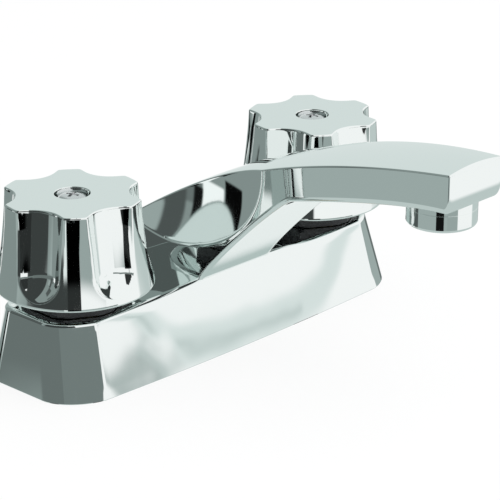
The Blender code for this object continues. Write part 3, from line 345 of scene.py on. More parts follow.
def turned_piece(name, slot, profile, closed=True, sides=96, x=0.0, y=0.0):
    """A piece that is turned round an upright axis."""
    builder = bmesh.new()
    add_turned(builder, profile, closed, sides, x, y)
    return new_piece(name, builder, slot)


def make_plain(piece):
    """Turns the piece's modifiers into a plain mesh of its own."""
    bpy.context.view_layer.update()
    evaluated = piece.evaluated_get(bpy.context.evaluated_depsgraph_get())
    mesh = bpy.data.meshes.new_from_object(evaluated)
    old = piece.data
    piece.modifiers.clear()
    piece.data = mesh
    bpy.data.meshes.remove(old)
    mesh.name = piece.name


def weigh_normals(piece, sharp_degrees):
    """Flat faces keep their own shading next to the rounded edges."""
    piece.data.set_sharp_from_angle(angle=math.radians(sharp_degrees))
    modifier = piece.modifiers.new("weigh normals", "WEIGHTED_NORMAL")
    modifier.keep_sharp = True
    modifier.weight = 50


def settle(piece, body, slot, *nodes, sharp=35):
    """The last step for a piece: its shading, what it rides on and the CAD nodes that it stands for."""
    weigh_normals(piece, sharp)
    make_plain(piece)
    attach(piece, body)
    if nodes:
        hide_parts(*nodes)


def node_box(node):
    """The lowest and highest corners of a CAD node, in millimetres."""
    return [SimpleNamespace(x=corner.x / MM, y=corner.y / MM, z=corner.z / MM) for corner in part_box(node)]


def handles(sizes):
    """The name of each handle and the X of its axis."""
    half = sizes.base.handle_centres / 2
    return (("hot", -half), ("cold", half))


# Node trees


def new_tree(name, sizes):
    """An empty Geometry Nodes tree with inputs for a mesh, its sizes and a material."""
    tree = bpy.data.node_groups.new(name, "GeometryNodeTree")
    tree.interface.new_socket("Geometry", in_out="INPUT", socket_type="NodeSocketGeometry")
    for label, default in sizes.items():
        kind = "NodeSocketInt" if isinstance(default, int) else "NodeSocketFloat"
        tree.interface.new_socket(label, in_out="INPUT", socket_type=kind).default_value = default
    tree.interface.new_socket("Material", in_out="INPUT", socket_type="NodeSocketMaterial")
    tree.interface.new_socket("Geometry", in_out="OUTPUT", socket_type="NodeSocketGeometry")
    return tree, tree.nodes.new("NodeGroupInput")


def add_node(tree, kind, inputs=None, **settings):
    """A node with its settings, and its inputs by name or number: sockets are linked, values are set."""
    node = tree.nodes.new(kind)
    for key, value in settings.items():
        setattr(node, key, value)
    for key, value in (inputs or {}).items():
        if isinstance(value, bpy.types.NodeSocket):
            tree.links.new(value, node.inputs[key])
        else:
            node.inputs[key].default_value = value
    return node


def result(tree, kind, inputs=None, **settings):
    """The first output of a new node."""
    return add_node(tree, kind, inputs, **settings).outputs[0]


def calculate(tree, operation, *values):
    return result(tree, "ShaderNodeMath", dict(enumerate(values)), operation=operation)


def shift(tree, geometry, **amounts):
    """Moves a geometry by amounts along X, Y or Z."""
    way = result(tree, "ShaderNodeCombineXYZ", amounts)
    return result(tree, "GeometryNodeTransform", {"Geometry": geometry, "Translation": way})


def end_tree(tree, start, geometry):
    """Realizes what is instanced, gives it its material, ends the tree and lays its nodes out in rows."""
    real = result(tree, "GeometryNodeRealizeInstances", {"Geometry": geometry})
    material = start.outputs["Material"]
    painted = result(tree, "GeometryNodeSetMaterial", {"Geometry": real, "Material": material})
    add_node(tree, "NodeGroupOutput", {0: painted})
    in_row, step_x, step_y = 12, 180, -220
    for k, node in enumerate(tree.nodes):
        node.location = (step_x * (k % in_row), step_y * (k // in_row))


def run_tree(piece, tree, slot, values):
    """Runs a tree on a piece, with values by input name, and keeps what it makes."""
    modifier = piece.modifiers.new(tree.name, "NODES")
    modifier.node_group = tree
    sockets = {item.name: item.identifier for item in tree.interface.items_tree if item.in_out == "INPUT"}
    for label, value in values.items():
        modifier[sockets[label]] = value
    modifier[sockets["Material"]] = finish(slot)
    make_plain(piece)


def scallop_tree(knob):
    """Carves the scallops into a turned blank, as a round tool with a ball end does."""
    sizes = {
        "Handle X": 0.0,
        "Scallops": knob.scallops,
        "Top": knob.top * MM,
        "Height": knob.height * MM,
        "Top Radius": knob.top_radius * MM,
        "Rim Radius": knob.rim_radius * MM,
        "Flare": knob.flare,
        "Tool Radius": knob.tool_radius * MM,
        "Depth": knob.depth * MM,
        "Foot Depth": knob.foot_depth * MM,
        "Foot Share": knob.foot_share,
        "Lobe Edge": knob.blend * MM,
        "Turn": knob.turn,
    }
    tree, start = new_tree("scallops", sizes)
    size, do = start.outputs, partial(calculate, tree)

    def squares(first, second):
        return do("ADD", do("MULTIPLY", first, first), do("MULTIPLY", second, second))

    # Where a point lies between the top and the rim, and the lobes' radius there
    place = result(tree, "GeometryNodeInputPosition")
    x, y, z = add_node(tree, "ShaderNodeSeparateXYZ", {0: place}).outputs
    weight = result(tree, "GeometryNodeInputNamedAttribute", {"Name": "carve"}, data_type="FLOAT")
    share = do("MAXIMUM", do("DIVIDE", do("SUBTRACT", size["Top"], z), size["Height"]), 0.0)
    widening = do("SUBTRACT", size["Rim Radius"], size["Top Radius"])

    def lobe_at(level):
        return do("MULTIPLY_ADD", do("POWER", level, size["Flare"]), widening, size["Top Radius"])

    lobe = lobe_at(share)
    lobe_foot = lobe_at(size["Foot Share"])

    # The valley leans out from its top to its foot, and the tool's centre follows it
    valley_top = do("SUBTRACT", size["Top Radius"], size["Depth"])
    lean = do("SUBTRACT", do("SUBTRACT", lobe_foot, size["Foot Depth"]), valley_top)
    valley = do("MULTIPLY_ADD", do("DIVIDE", share, size["Foot Share"]), lean, valley_top)
    pitch = do("DIVIDE", 2 * math.pi, size["Scallops"])
    turned = do("SUBTRACT", do("ARCTAN2", y, x), size["Turn"])
    off = do("SUBTRACT", do("FLOORED_MODULO", turned, pitch), do("MULTIPLY", pitch, 0.5))
    centre = do("ADD", valley, size["Tool Radius"])
    aside = do("MULTIPLY", centre, do("SINE", off))
    below = do("MULTIPLY", do("MAXIMUM", do("SUBTRACT", share, size["Foot Share"]), 0.0), size["Height"])
    tool = do("MULTIPLY", size["Tool Radius"], size["Tool Radius"])
    left = do("SUBTRACT", tool, squares(aside, below))
    scallop = do("SUBTRACT", do("MULTIPLY", centre, do("COSINE", off)), do("SQRT", do("MAXIMUM", left, 0.0)))

    # The edge between lobe and scallop is soft, and sharpens towards the rim
    sharpening, least = 1.25, 0.04
    soft = do("MINIMUM", do("MAXIMUM", do("MULTIPLY_ADD", share, -sharpening, sharpening), least), 1.0)
    carved = do("SMOOTH_MIN", lobe, scallop, do("MULTIPLY", size["Lobe Edge"], soft))
    depth = do("MULTIPLY", do("SUBTRACT", lobe, carved), weight)
    radius = do("SQRT", squares(x, y))
    factor = do("DIVIDE", do("SUBTRACT", radius, depth), do("MAXIMUM", radius, 1e-6))
    carved_place = {0: do("MULTIPLY", x, factor), 1: do("MULTIPLY", y, factor), 2: z}
    moved = result(tree, "ShaderNodeCombineXYZ", carved_place)
    shaped = result(tree, "GeometryNodeSetPosition", {"Geometry": size["Geometry"], "Position": moved})
    end_tree(tree, start, shift(tree, shaped, X=size["Handle X"]))
    return tree


def thread_tree(fitting):
    """A thread: a small ridge that climbs round a shank."""
    sizes = {
        "Axis X": 0.0,
        "Low": -THREAD_END * MM,
        "High": -THREAD_START * MM,
        "Pitch": fitting.thread_pitch * MM,
        "Radius": fitting.shank_radius * MM,
        "Ridge": fitting.thread_height * MM,
    }
    tree, start = new_tree("thread", sizes)
    size, do = start.outputs, partial(calculate, tree)
    rise = do("SUBTRACT", size["High"], size["Low"])
    path = {
        "Resolution": 48,
        "Rotations": do("DIVIDE", rise, size["Pitch"]),
        "Start Radius": size["Radius"],
        "End Radius": size["Radius"],
        "Height": rise,
    }
    section = {"Resolution": 6, "Radius": size["Ridge"]}
    sweep = {
        "Curve": result(tree, "GeometryNodeCurveSpiral", path),
        "Profile Curve": result(tree, "GeometryNodeCurvePrimitiveCircle", section),
        "Fill Caps": True,
    }
    ridge = result(tree, "GeometryNodeCurveToMesh", sweep)
    both = add_node(tree, "GeometryNodeJoinGeometry")
    for part in (shift(tree, ridge, X=size["Axis X"], Z=size["Low"]), size["Geometry"]):
        tree.links.new(part, both.inputs[0])
    end_tree(tree, start, both.outputs[0])
    return tree


def wing_tree(fitting):
    """Sets copies of one wing round a nut's hub."""
    tree, start = new_tree("wings", {"Axis X": 0.0, "Wings": fitting.wings})
    size, do = start.outputs, partial(calculate, tree)
    points = result(tree, "GeometryNodePoints", {"Count": size["Wings"]})
    step = do("DIVIDE", 2 * math.pi, size["Wings"])
    turn = do("MULTIPLY", result(tree, "GeometryNodeInputIndex"), step)
    turned = result(tree, "ShaderNodeCombineXYZ", {"Z": turn})
    copies = {"Points": points, "Instance": size["Geometry"], "Rotation": turned}
    wings = result(tree, "GeometryNodeInstanceOnPoints", copies)
    end_tree(tree, start, shift(tree, wings, X=size["Axis X"]))
    return tree


# Finishes


def new_material(name, base, metallic, roughness, **sockets):
    """A Principled material, with its constant values set on the shader itself."""
    material = bpy.data.materials.new(name)
    material.use_nodes = True
    shader = material.node_tree.nodes["Principled BSDF"]
    shader.inputs["Base Color"].default_value = (*base, 1.0)
    shader.inputs["Metallic"].default_value = metallic
    shader.inputs["Roughness"].default_value = roughness
    for key, value in sockets.items():
        shader.inputs[key].default_value = value
    return material, shader


def noise_on(tree, scale, detail=2.0, stretch=(1.0, 1.0, 1.0)):
    """Noise on Object coordinates."""
    place = add_node(tree, "ShaderNodeTexCoord").outputs["Object"]
    placed = result(tree, "ShaderNodeMapping", {"Vector": place, "Scale": stretch})
    return result(tree, "ShaderNodeTexNoise", {"Vector": placed, "Scale": scale, "Detail": detail})


def vary(tree, shader, socket, fac, low, high):
    ranged = result(tree, "ShaderNodeMapRange", {"Value": fac, "To Min": low, "To Max": high})
    tree.links.new(ranged, shader.inputs[socket])


def blend_colours(tree, fac, first, second, **settings):
    """A mix of two colours, each of them a socket or three numbers."""
    ends = {0: fac}
    for key, value in ((6, first), (7, second)):
        ends[key] = value if isinstance(value, bpy.types.NodeSocket) else (*value, 1.0)
    return add_node(tree, "ShaderNodeMix", ends, data_type="RGBA", **settings).outputs[2]


def vary_colour(tree, shader, fac, dark, light):
    tree.links.new(blend_colours(tree, fac, dark, light), shader.inputs["Base Color"])


def bump(tree, shader, height, distance, strength=1.0):
    raised = result(tree, "ShaderNodeBump", {"Height": height, "Distance": distance, "Strength": strength})
    tree.links.new(raised, shader.inputs["Normal"])


def shade(base, factor):
    """A colour that is darker or lighter by a factor."""
    return tuple(min(1.0, value * factor) for value in base)


# What the machined and the moulded finishes have in common: the grain's detail and stretch, how far it
# smooths and roughens, the mottling's scale and detail with its two shades, and the depth and strength
# of the relief.
MACHINED = SimpleNamespace(
    metallic=1.0,
    sockets={},
    grain=(2.0, (0.06, 0.06, 1.0)),
    roughness=(-0.06, 0.08),
    mottling=(160.0, 3.0),
    shades=(0.9, 1.06),
    relief=(0.00002, 0.6),
)
MOULDED = SimpleNamespace(
    metallic=0.0,
    sockets={"IOR": 1.47},
    grain=(3.0, (1.0, 1.0, 1.0)),
    roughness=(-0.05, 0.1),
    mottling=(70.0, 2.0),
    shades=(0.93, 1.05),
    relief=(0.00003, 0.5),
)

# Each grained finish, with its roughness and the scale of its grain
GRAINED = (
    ("brass", MACHINED, 0.26, 2200.0),
    ("copper", MACHINED, 0.22, 1500.0),
    ("steel", MACHINED, 0.2, 2600.0),
    ("plastic", MOULDED, 0.45, 2400.0),
    ("white_plastic", MOULDED, 0.35, 1800.0),
    ("rubber", MOULDED, 0.65, 1500.0),
    ("ceramic", MOULDED, 0.12, 900.0),
)


def make_finishes(colours):
    """Every finish of the faucet, by the record's slot name."""
    material, shader = new_material("chrome", colours.chrome, 1.0, 0.03)
    tree = material.node_tree
    vary(tree, shader, "Roughness", noise_on(tree, 90.0, 3.0), 0.02, 0.045)
    bump(tree, shader, noise_on(tree, 55.0, 1.0), 0.00003)
    made = {"chrome": material}
    for name, kind, rough, scale in GRAINED:
        base = getattr(colours, name)
        material, shader = new_material(name, base, kind.metallic, rough, **kind.sockets)
        tree = material.node_tree
        grain = noise_on(tree, scale, *kind.grain)
        vary(tree, shader, "Roughness", grain, *(rough + change for change in kind.roughness))
        vary_colour(tree, shader, noise_on(tree, *kind.mottling), *(shade(base, by) for by in kind.shades))
        bump(tree, shader, grain, *kind.relief)
        made[name] = material
    return made


def finish(name):
    """A finish that the finishes operator has made."""
    return bpy.data.materials[name + "_finish"]


# Base and spout


# How an end wraps round from its crease towards the rear: the share of its run, and how far it goes back from
# the front face, at the deck and at the top. Then the points of a rounded crease and the chamfer on the deck.
END_WRAP = ((0.5, 1.2, 2.5), (0.98, 7.5, 6.5), (0.96, 14.0, 12.0))
CREASE_POINTS = 7
DECK_EDGE = 0.25


def base_outline(base, level, distance=0.0):
    """The base's outline, counterclockwise from the front left crease, with both creases rounded.

    Level is 0 at the deck and 1 at the top. The outline is moved inward by the distance first, so that the
    creases keep their radius.
    """
    handle_x = base.handle_centres / 2
    crease_x = handle_x + mix(*base.crease, level)
    end_x = handle_x + mix(*base.end, level)
    front_y = -mix(*base.front, level)
    rear_y = mix(*base.rear, level)
    bow = mix(*base.bow, level)
    corner = mix(*base.corner, level)
    wrap = [(crease_x, front_y)]
    for share, low, top in END_WRAP:
        wrap.append((mix(crease_x, end_x, share), front_y + mix(low, top, level)))
    right = trace(wrap, 22)[2:]
    right.append((end_x, rear_y - corner))
    for step, rise in arc(14)[1:]:
        right.append((end_x - corner * rise, rear_y - corner * (1 - step)))
    front = []
    for k in range(-28, 29):
        x = crease_x * k / 29
        front.append((x, front_y - bow * (1 - (x / crease_x) ** 2)))
    rear = [(-x, rear_y) for x, _ in front]
    outline = [(-crease_x, front_y)] + front + [(crease_x, front_y)] + right + rear
    outline += [(-x, y) for x, y in reversed(right)]
    if distance:
        outline = inset(outline, distance)
    rounded = []
    creases = (0, len(front) + 1)
    for k, point in enumerate(outline):
        if k not in creases:
            rounded.append(point)
            continue
        ends = []
        for near in (outline[k - 1], outline[(k + 1) % len(outline)]):
            share = base.crease_edge / math.dist(point, near)
            ends.append((mix(point[0], near[0], share), mix(point[1], near[1], share)))
        rounded += trace([ends[0], point, ends[1]], CREASE_POINTS - 1)
    return rounded, len(front), len(right)


def crown(base, x):
    """How far the base's top stands above its ends."""
    share = min(1.0, abs(x) / (base.handle_centres / 2 - base.crown_end))
    return base.crown * (1 - share**2) ** 1.5


def base_ring(base, z, distance):
    outline = base_outline(base, max(0.0, z) / base.height, distance)[0]
    return [(x, y, z + crown(base, x) * max(0.0, z) / base.height) for x, y in outline]


def add_base(builder, base):
    """The base: an inner skin, the rim on the deck, the outer skin and its crowned top."""
    ceiling = base.height - base.wall
    rings = [[(x, y, z) for x, y, _ in base_ring(base, z, base.wall)] for z in (ceiling, 0.0)]
    rings += [base_ring(base, 0.0, DECK_EDGE), base_ring(base, DECK_EDGE, 0.0)]
    side = base.height - base.edge
    rings += [base_ring(base, z, 0.0) for z in spread(DECK_EDGE, side, 10)[1:]]
    rings += [base_ring(base, side + base.edge * sine, base.edge * rise) for sine, rise in arc(8)]
    rings.append(base_ring(base, base.height, base.edge + DECK_EDGE))
    loops = add_loft(builder, rings, ends=False)
    builder.faces.new(loops[0][::-1])

    # The top is skinned across, from the front face's points to the rear's, with a cap at each end
    top = loops[-1]
    fronts, sides = base_outline(base, 1.0)[1:]
    first, last = CREASE_POINTS, CREASE_POINTS + fronts
    rear_first = last + CREASE_POINTS + sides
    for k in range(fronts - 1):
        front, back = first + k, rear_first + fronts - 1 - k
        builder.faces.new((top[front], top[front + 1], top[back - 1], top[back]))
    builder.faces.new(top[last - 1 : rear_first + 1])
    builder.faces.new(top[rear_first + fronts - 1 :] + top[: first + 1])


# Where the points across the arm's top and underside lie, from its middle to its edge
ACROSS = (0.15, 0.3, 0.45, 0.6, 0.75, 0.9)


class SpoutShape:
    """The pedestal and arm's rules: heights along the spout, widths and scoops."""

    def __init__(self, base, spout):
        self.base = base
        self.spout = spout
        self.rear = base.rear[1] - base.edge
        self.foot = -base.front[1]
        rear, tip = (self.rear, spout.rear_height), (-spout.reach, spout.tip_top)
        foot = (self.foot, base.height + base.crown - base.edge)
        bend = (-spout.bend_reach, spout.bend_height)
        tip_below = (-spout.reach, spout.tip_top - spout.tip_height)
        top = between(rear, tip, (0.28, 0.555), (0.62, 0.918))
        neck = between(foot, bend, (0.06, 0.15), (0.83, 0.92))
        under = between(bend, tip_below, (0.16, 0.24), (0.67, 1.05))
        self.top_line = trace(top, 400)
        self.under_line = trace(neck, 200)[:-1] + trace(under, 200)
        beyond = spout.scoop_ball - spout.scoop_depth
        share = math.sqrt(1 - (beyond / spout.scoop_ball) ** 2)
        self.ball_x = spout.neck_half + beyond
        self.ball_y = spout.scoop_half_length / share
        self.ball_z = spout.scoop_half_height / share

    @staticmethod
    def on_line(line, y):
        """The height of a falling-Y line at this Y, by halving."""
        low, high = 0, len(line) - 1
        while high - low > 1:
            middle = (low + high) // 2
            if line[middle][0] >= y:
                low = middle
            else:
                high = middle
        (y_near, z_near), (y_far, z_far) = line[low], line[high]
        return mix(z_near, z_far, min(1.0, max(0.0, (y_near - y) / (y_near - y_far))))

    def top(self, y):
        return self.on_line(self.top_line, y)

    def under(self, y):
        """The lower edge. Over the base it dips into the base's top, and at the tip it rounds up."""
        if y > self.foot:
            return self.base.height - self.base.wall / 2
        spout = self.spout
        into = min(1.0, max(0.0, -y - (spout.reach - spout.tip_round_depth)) / spout.tip_round_depth)
        return self.on_line(self.under_line, y) + spout.tip_round_height * (1 - math.sqrt(1 - into**2))

    def half(self, y):
        spout = self.spout
        share = max(0.0, (-y - spout.bend_reach) / (spout.reach - spout.bend_reach))
        return mix(spout.neck_half, spout.tip_half, share**spout.taper)

    def side(self, y, z):
        """Half the width that the scoops leave at this place."""
        spout = self.spout
        half = self.half(y)
        left = 1 - ((y - spout.scoop_y) / self.ball_y) ** 2 - ((z - spout.scoop_z) / self.ball_z) ** 2
        clear_of_ball = 0.2
        if left < clear_of_ball:
            return half
        return smooth_min(half, self.ball_x - spout.scoop_ball * math.sqrt(left), spout.scoop_edge)

    def section(self, y, distance=0.0):
        """One upright section, counterclockwise seen from the tip, moved inward by a distance."""
        spout = self.spout
        low, half = self.under(y), self.half(y)

        def top_at(x):
            return self.top(y) + spout.crown * (1 - (x / half) ** 2)

        edge, lower = spout.upper_round, spout.lower_round
        lower = min(lower, 0.25 * (self.top(y) - low))
        right = [(share * (half - lower), low) for share in ACROSS]
        side_low = self.side(y, low + lower)
        bend = [(half - lower, low), (side_low, low), (side_low, low + lower)]
        right += trace(bend, 8)
        edge_x = self.side(y, top_at(half))
        high = top_at(edge_x)
        right += [(self.side(y, z), z) for z in spread(low + lower, high - edge, 64)[1:]]
        corner = self.side(y, high)
        flat = corner - edge
        bend = [(self.side(y, high - edge), high - edge), (corner, high), (flat, top_at(flat))]
        right += trace(bend, 6)
        right += [(flat * share, top_at(flat * share)) for share in reversed(ACROSS)]
        left = [(-x, z) for x, z in reversed(right)]
        outline = [(0.0, low)] + right + [(0.0, top_at(0.0))] + left
        if distance:
            outline = inset(outline, distance)
        return [(x, y, z) for x, z in outline]

    def rings(self):
        """Every section from the rear to the tip, with both ends' edges rounded."""
        edge = self.spout.upper_round
        found = []
        for sine, rise in reversed(arc(5)):
            found.append(self.section(self.rear - edge * (1 - sine), edge * rise))
        just_past = 0.01
        found += [self.section(y) for y in spread(self.rear - edge, self.foot, 60)[1:]]
        found += [self.section(y) for y in spread(self.foot - just_past, -self.spout.bend_reach, 80)]
        tip_start = -(self.spout.reach - self.spout.tip_round_depth)
        found += [self.section(y) for y in spread(-self.spout.bend_reach, tip_start, 100)]
        for sine, _ in arc(16):
            y = -self.spout.reach + self.spout.tip_round_depth * (1 - sine)
            into = max(0.0, -y - (self.spout.reach - edge)) / edge
            found.append(self.section(y, edge * (1 - math.sqrt(max(0.0, 1 - into**2)))))
        return found


def read_sizes():
    """All the sizes as plain numbers."""
    groups = ("base", "spout", "knob", "fitting")
    return SimpleNamespace(**{name: plain(getattr(bpy.context.scene, f"faucet_{name}")) for name in groups})


def make_casting(sizes):
    """Base, pedestal, arm and the aerator's pad with its nipple, which are one casting."""
    builder = bmesh.new()
    add_base(builder, sizes.base)
    add_loft(builder, SpoutShape(sizes.base, sizes.spout).rings())
    low, high = node_box("aerator_housing")
    radius, pad = (high.x - low.x) / 2, high.z
    nipple, reach, edge, into = radius - 1.7, 1.5, 0.05, 4.5
    profile = [(nipple, pad - reach), (nipple, pad), (radius - edge, pad), (radius, pad + edge)]
    profile.append((radius, pad + into))
    add_turned(builder, profile, y=(low.y + high.y) / 2)
    casting = new_piece("casting", builder, "chrome")
    settle(casting, "faucet", "chrome", "base_spout")


def make_aerator_cap(sizes):
    """The plain ring under the tip."""
    low, high = node_box("aerator_housing")
    radius, bottom, top = (high.x - low.x) / 2, low.z, high.z
    chamfer = sizes.fitting.cap_chamfer
    mouth, lip, lip_edge, wall, edge = radius - 3.8, 1.0, 0.2, 1.3, 0.05
    profile = [(mouth, bottom + lip), (mouth, bottom + lip_edge), (mouth + lip_edge, bottom)]
    profile.append((radius - chamfer, bottom))
    for sine, rise in arc(6)[1:]:
        profile.append((radius - chamfer * (1 - sine), bottom + chamfer * rise))
    profile += [(radius, top - edge), (radius - edge, top)]
    profile += [(radius - wall, top), (radius - wall, bottom + lip)]
    cap = turned_piece("aerator_cap", "chrome", profile, y=(low.y + high.y) / 2)
    settle(cap, "faucet", "chrome", "aerator_housing")


def lobe_radius(knob, share):
    return mix(knob.top_radius, knob.rim_radius, share**knob.flare)


def knob_blank(knob):
    """The knob before its scallops, down the outside and back inside.

    Each point has its radius, its height and how much of the carving it takes.
    """
    bottom = knob.top - knob.height
    recess_floor = knob.top - knob.recess_depth
    screw_hole, socket, web, soft = 2.3, 4.3, 3.6, 0.3

    def lobe_at(z):
        return lobe_radius(knob, (knob.top - z) / knob.height)

    profile = [(screw_hole, recess_floor, 0.0), (knob.recess_floor, recess_floor, 0.0)]
    profile.append((knob.recess_radius, knob.top - soft, 0.0))
    for sine, rise in arc(4)[1:]:
        profile.append((knob.recess_radius + soft * rise, knob.top - soft + soft * sine, 0.0))
    start, end = knob.recess_radius + soft, knob.top_radius - knob.edge
    for k in range(1, 13):
        profile.append((mix(start, end, k / 13), knob.top, k / 13))
    for sine, rise in arc(7):
        z = knob.top - knob.edge * rise
        profile.append((lobe_at(z) - knob.edge * (1 - sine), z, 1.0))
    profile += [(lobe_at(z), z, 1.0) for z in spread(knob.top - knob.edge, bottom + knob.edge, 70)[1:]]
    for sine, rise in arc(5):
        z = bottom + knob.edge * (1 - sine)
        profile.append((lobe_at(z) - knob.edge * rise, z, 1.0))
    lid, corner = knob.top - knob.lid, 1.0
    hollow = knob.top_radius - knob.depth - knob.wall + 0.4
    foot = lobe_radius(knob, knob.foot_share) - knob.foot_depth - knob.wall
    inner = [
        (knob.rim_radius - knob.wall, bottom),
        (knob.rim_radius - knob.wall, bottom + soft),
        (foot, knob.top - knob.foot_share * knob.height),
        (hollow, lid - corner),
        (hollow - corner, lid),
        (knob.boss_radius, lid),
        (knob.boss_radius, knob.boss_start),
        (socket, knob.boss_start),
        (socket, recess_floor - web),
        (screw_hole, recess_floor - web),
    ]
    return profile + [(radius, z, 0.0) for radius, z in inner]


def make_knob(water, x, sizes, tree):
    """A turned blank whose scallops the node tree carves."""
    profile = knob_blank(sizes.knob)
    sides = 60 * sizes.knob.scallops
    builder = bmesh.new()
    carve = builder.verts.layers.float.new("carve")
    loops = add_loft(builder, [circle(radius, z, sides) for radius, z, _ in profile], closed=True)
    for loop, (_, _, weight) in zip(loops, profile):
        for vert in loop:
            vert[carve] = weight
    piece = new_piece(f"{water}_knob_body", builder, "chrome")
    run_tree(piece, tree, "chrome", {"Handle X": x * MM})
    settle(piece, f"{water}_handle", "chrome", f"{water}_knob", sharp=40)


def make_knob_screw(water, x, sizes):
    """A domed screw head with a cross recess, in the knob's recess."""
    low, high = node_box(f"{water}_knob_screw")
    top, radius = high.z, sizes.knob.screw_radius
    shank, tip, head, edge, dome = 2.0, 0.5, 2.4, 0.2, 1.3
    profile = [(shank - tip, low.z), (shank, low.z + tip), (shank, top - head), (radius - edge, top - head)]
    profile += [(radius, top - head + edge), (radius, top - dome)]
    for sine, rise in arc(9)[1:-1]:
        profile.append((radius * (1 - rise), top - dome * (1 - sine)))
    piece = turned_piece(f"{water}_screw", "steel", profile, closed=False, sides=48, x=x)

    # Two cutters make the cross. Each narrows downwards along its length.
    sine, cosine = math.sin(CROSS_TURN), math.cos(CROSS_TURN)
    long, wide = sizes.knob.cross_length / 2, sizes.knob.cross_width / 2
    tools = []
    for k in range(2):
        rings = []
        for z, scale in ((top - 1.2, 0.55), (top + 1.0, 1.25)):
            half_x, half_y = (wide, long * scale) if k else (long * scale, wide)
            ring = []
            for cx, cy in ((-half_x, -half_y), (half_x, -half_y), (half_x, half_y), (-half_x, half_y)):
                ring.append((x + cx * cosine - cy * sine, cx * sine + cy * cosine, z))
            rings.append(ring)
        cutter = bmesh.new()
        add_loft(cutter, rings)
        tools.append(new_piece(f"{water}_cross_{k}", cutter, "steel"))
        modifier = piece.modifiers.new(f"cross {k}", "BOOLEAN")
        modifier.operation = "DIFFERENCE"
        modifier.object = tools[k]
        modifier.solver = "EXACT"
    make_plain(piece)
    for tool in tools:
        bpy.data.meshes.remove(tool.data)
    settle(piece, f"{water}_handle", "steel", f"{water}_knob_screw", sharp=30)


def make_bonnet_nut(water, x, sizes):
    """A chamfered hexagonal nut under the knob."""
    low, high = node_box(f"{water}_bonnet_nut")
    bottom, top = low.z, high.z
    flats, count = sizes.fitting.nut_flats, 72
    corner, chamfer, rise = flats / math.sqrt(3), 1.2, 0.8
    hole, lip, bore = 6.3, 2.2, 12.0
    narrow, full = corner - chamfer, corner + 0.1
    rings = []
    for z, limit in ((bottom, narrow), (bottom + rise, full), (top - rise, full), (top, narrow)):
        ring = []
        for k in range(count):
            turn = 2 * math.pi * k / count
            off = (turn + math.pi / 6) % (math.pi / 3) - math.pi / 6
            radius = min(flats / 2 / math.cos(off), limit)
            ring.append((x + radius * math.cos(turn), radius * math.sin(turn), z))
        rings.append(ring)
    inside = ((hole, top), (hole, top - lip), (bore, top - lip), (bore, bottom))
    rings += [circle(radius, z, count, x) for radius, z in inside]
    builder = bmesh.new()
    add_loft(builder, rings, closed=True)
    nut = new_piece(f"{water}_bonnet", builder, "plastic")
    settle(nut, "faucet", "plastic", f"{water}_bonnet_nut", sharp=20)


def ring_profile(bore, radius, bottom, top, bore_edge, edge):
    """A flat ring's profile, with its edges chamfered."""
    return [
        (bore, bottom + bore_edge),
        (bore + bore_edge, bottom),
        (radius - edge, bottom),
        (radius, bottom + edge),
        (radius, top - edge),
        (radius - edge, top),
        (bore + bore_edge, top),
        (bore, top - bore_edge),
    ]


def make_washer(water, x, sizes):
    """The steel washer under the deck."""
    low, high = node_box(f"{water}_shank_washer")
    bore = sizes.fitting.shank_radius + CLAMP_GAP
    profile = ring_profile(bore, (high.x - low.x) / 2, low.z, high.z, 0.2, 0.2)
    washer = turned_piece(f"{water}_washer", "steel", profile, x=x)
    settle(washer, "faucet", "steel", f"{water}_shank_washer")


def make_wing_nut(water, x, sizes, wings):
    """The moulded nut under the washer: the node tree copies its wing, and the hub joins them."""
    name = f"{water}_wing_nut"
    low, high = node_box(f"{water}_shank_nut")
    bottom, top, hub = low.z, high.z, 14.6
    tip, half, edge = (high.x - low.x) / 2, sizes.fitting.wing_width / 2, 0.5
    root, flare = 1.5, 0.8
    outline = [(hub - root, -half - flare), (tip - 1.5, -half)]
    outline += [(tip - 0.4, -half + 0.5), (tip - 0.05, -half + 1.4)]
    outline += [(px, -py) for px, py in reversed(outline)]
    wing_top = mix(bottom, top, 0.7)
    levels = ((bottom, edge), (bottom + edge, 0.0), (wing_top - edge, 0.0), (wing_top, edge))
    builder = bmesh.new()
    add_loft(builder, [[(px, py, z) for px, py in inset(outline, distance)] for z, distance in levels])
    piece = new_piece(name, builder, "plastic")
    run_tree(piece, wings, "plastic", {"Axis X": x * MM})
    nut = bmesh.new()
    nut.from_mesh(piece.data)
    bmesh.ops.scale(nut, vec=(1 / MM, 1 / MM, 1 / MM), verts=nut.verts)
    bore = sizes.fitting.shank_radius + CLAMP_GAP
    add_turned(nut, ring_profile(bore, hub, bottom, top, 0.6, edge), closed=True, x=x)
    old = piece.data
    piece.data = to_mesh(name, nut, finish("plastic"))
    bpy.data.meshes.remove(old)
    settle(piece, "faucet", "plastic", f"{water}_shank_nut")


def make_thread(water, x, sizes, tree):
    """The shank's thread, over the plain shank of the valve body."""
    radius = sizes.fitting.shank_radius + 0.02
    bore, chamfer, start, end = radius - 4.1, 1.0, -2.0, -47.8
    profile = [(radius, start), (radius, end + chamfer), (radius - chamfer, end), (bore, end), (bore, start)]
    piece = turned_piece(f"{water}_thread", "brass", profile, x=x)
    run_tree(piece, tree, "brass", {"Axis X": x * MM})
    merged = bmesh.new()
    merged.from_mesh(piece.data)
    bmesh.ops.recalc_face_normals(merged, faces=merged.faces)
    merged.to_mesh(piece.data)
    merged.free()
    piece.data.shade_smooth()
    settle(piece, "faucet", "brass", sharp=40)


# Studio


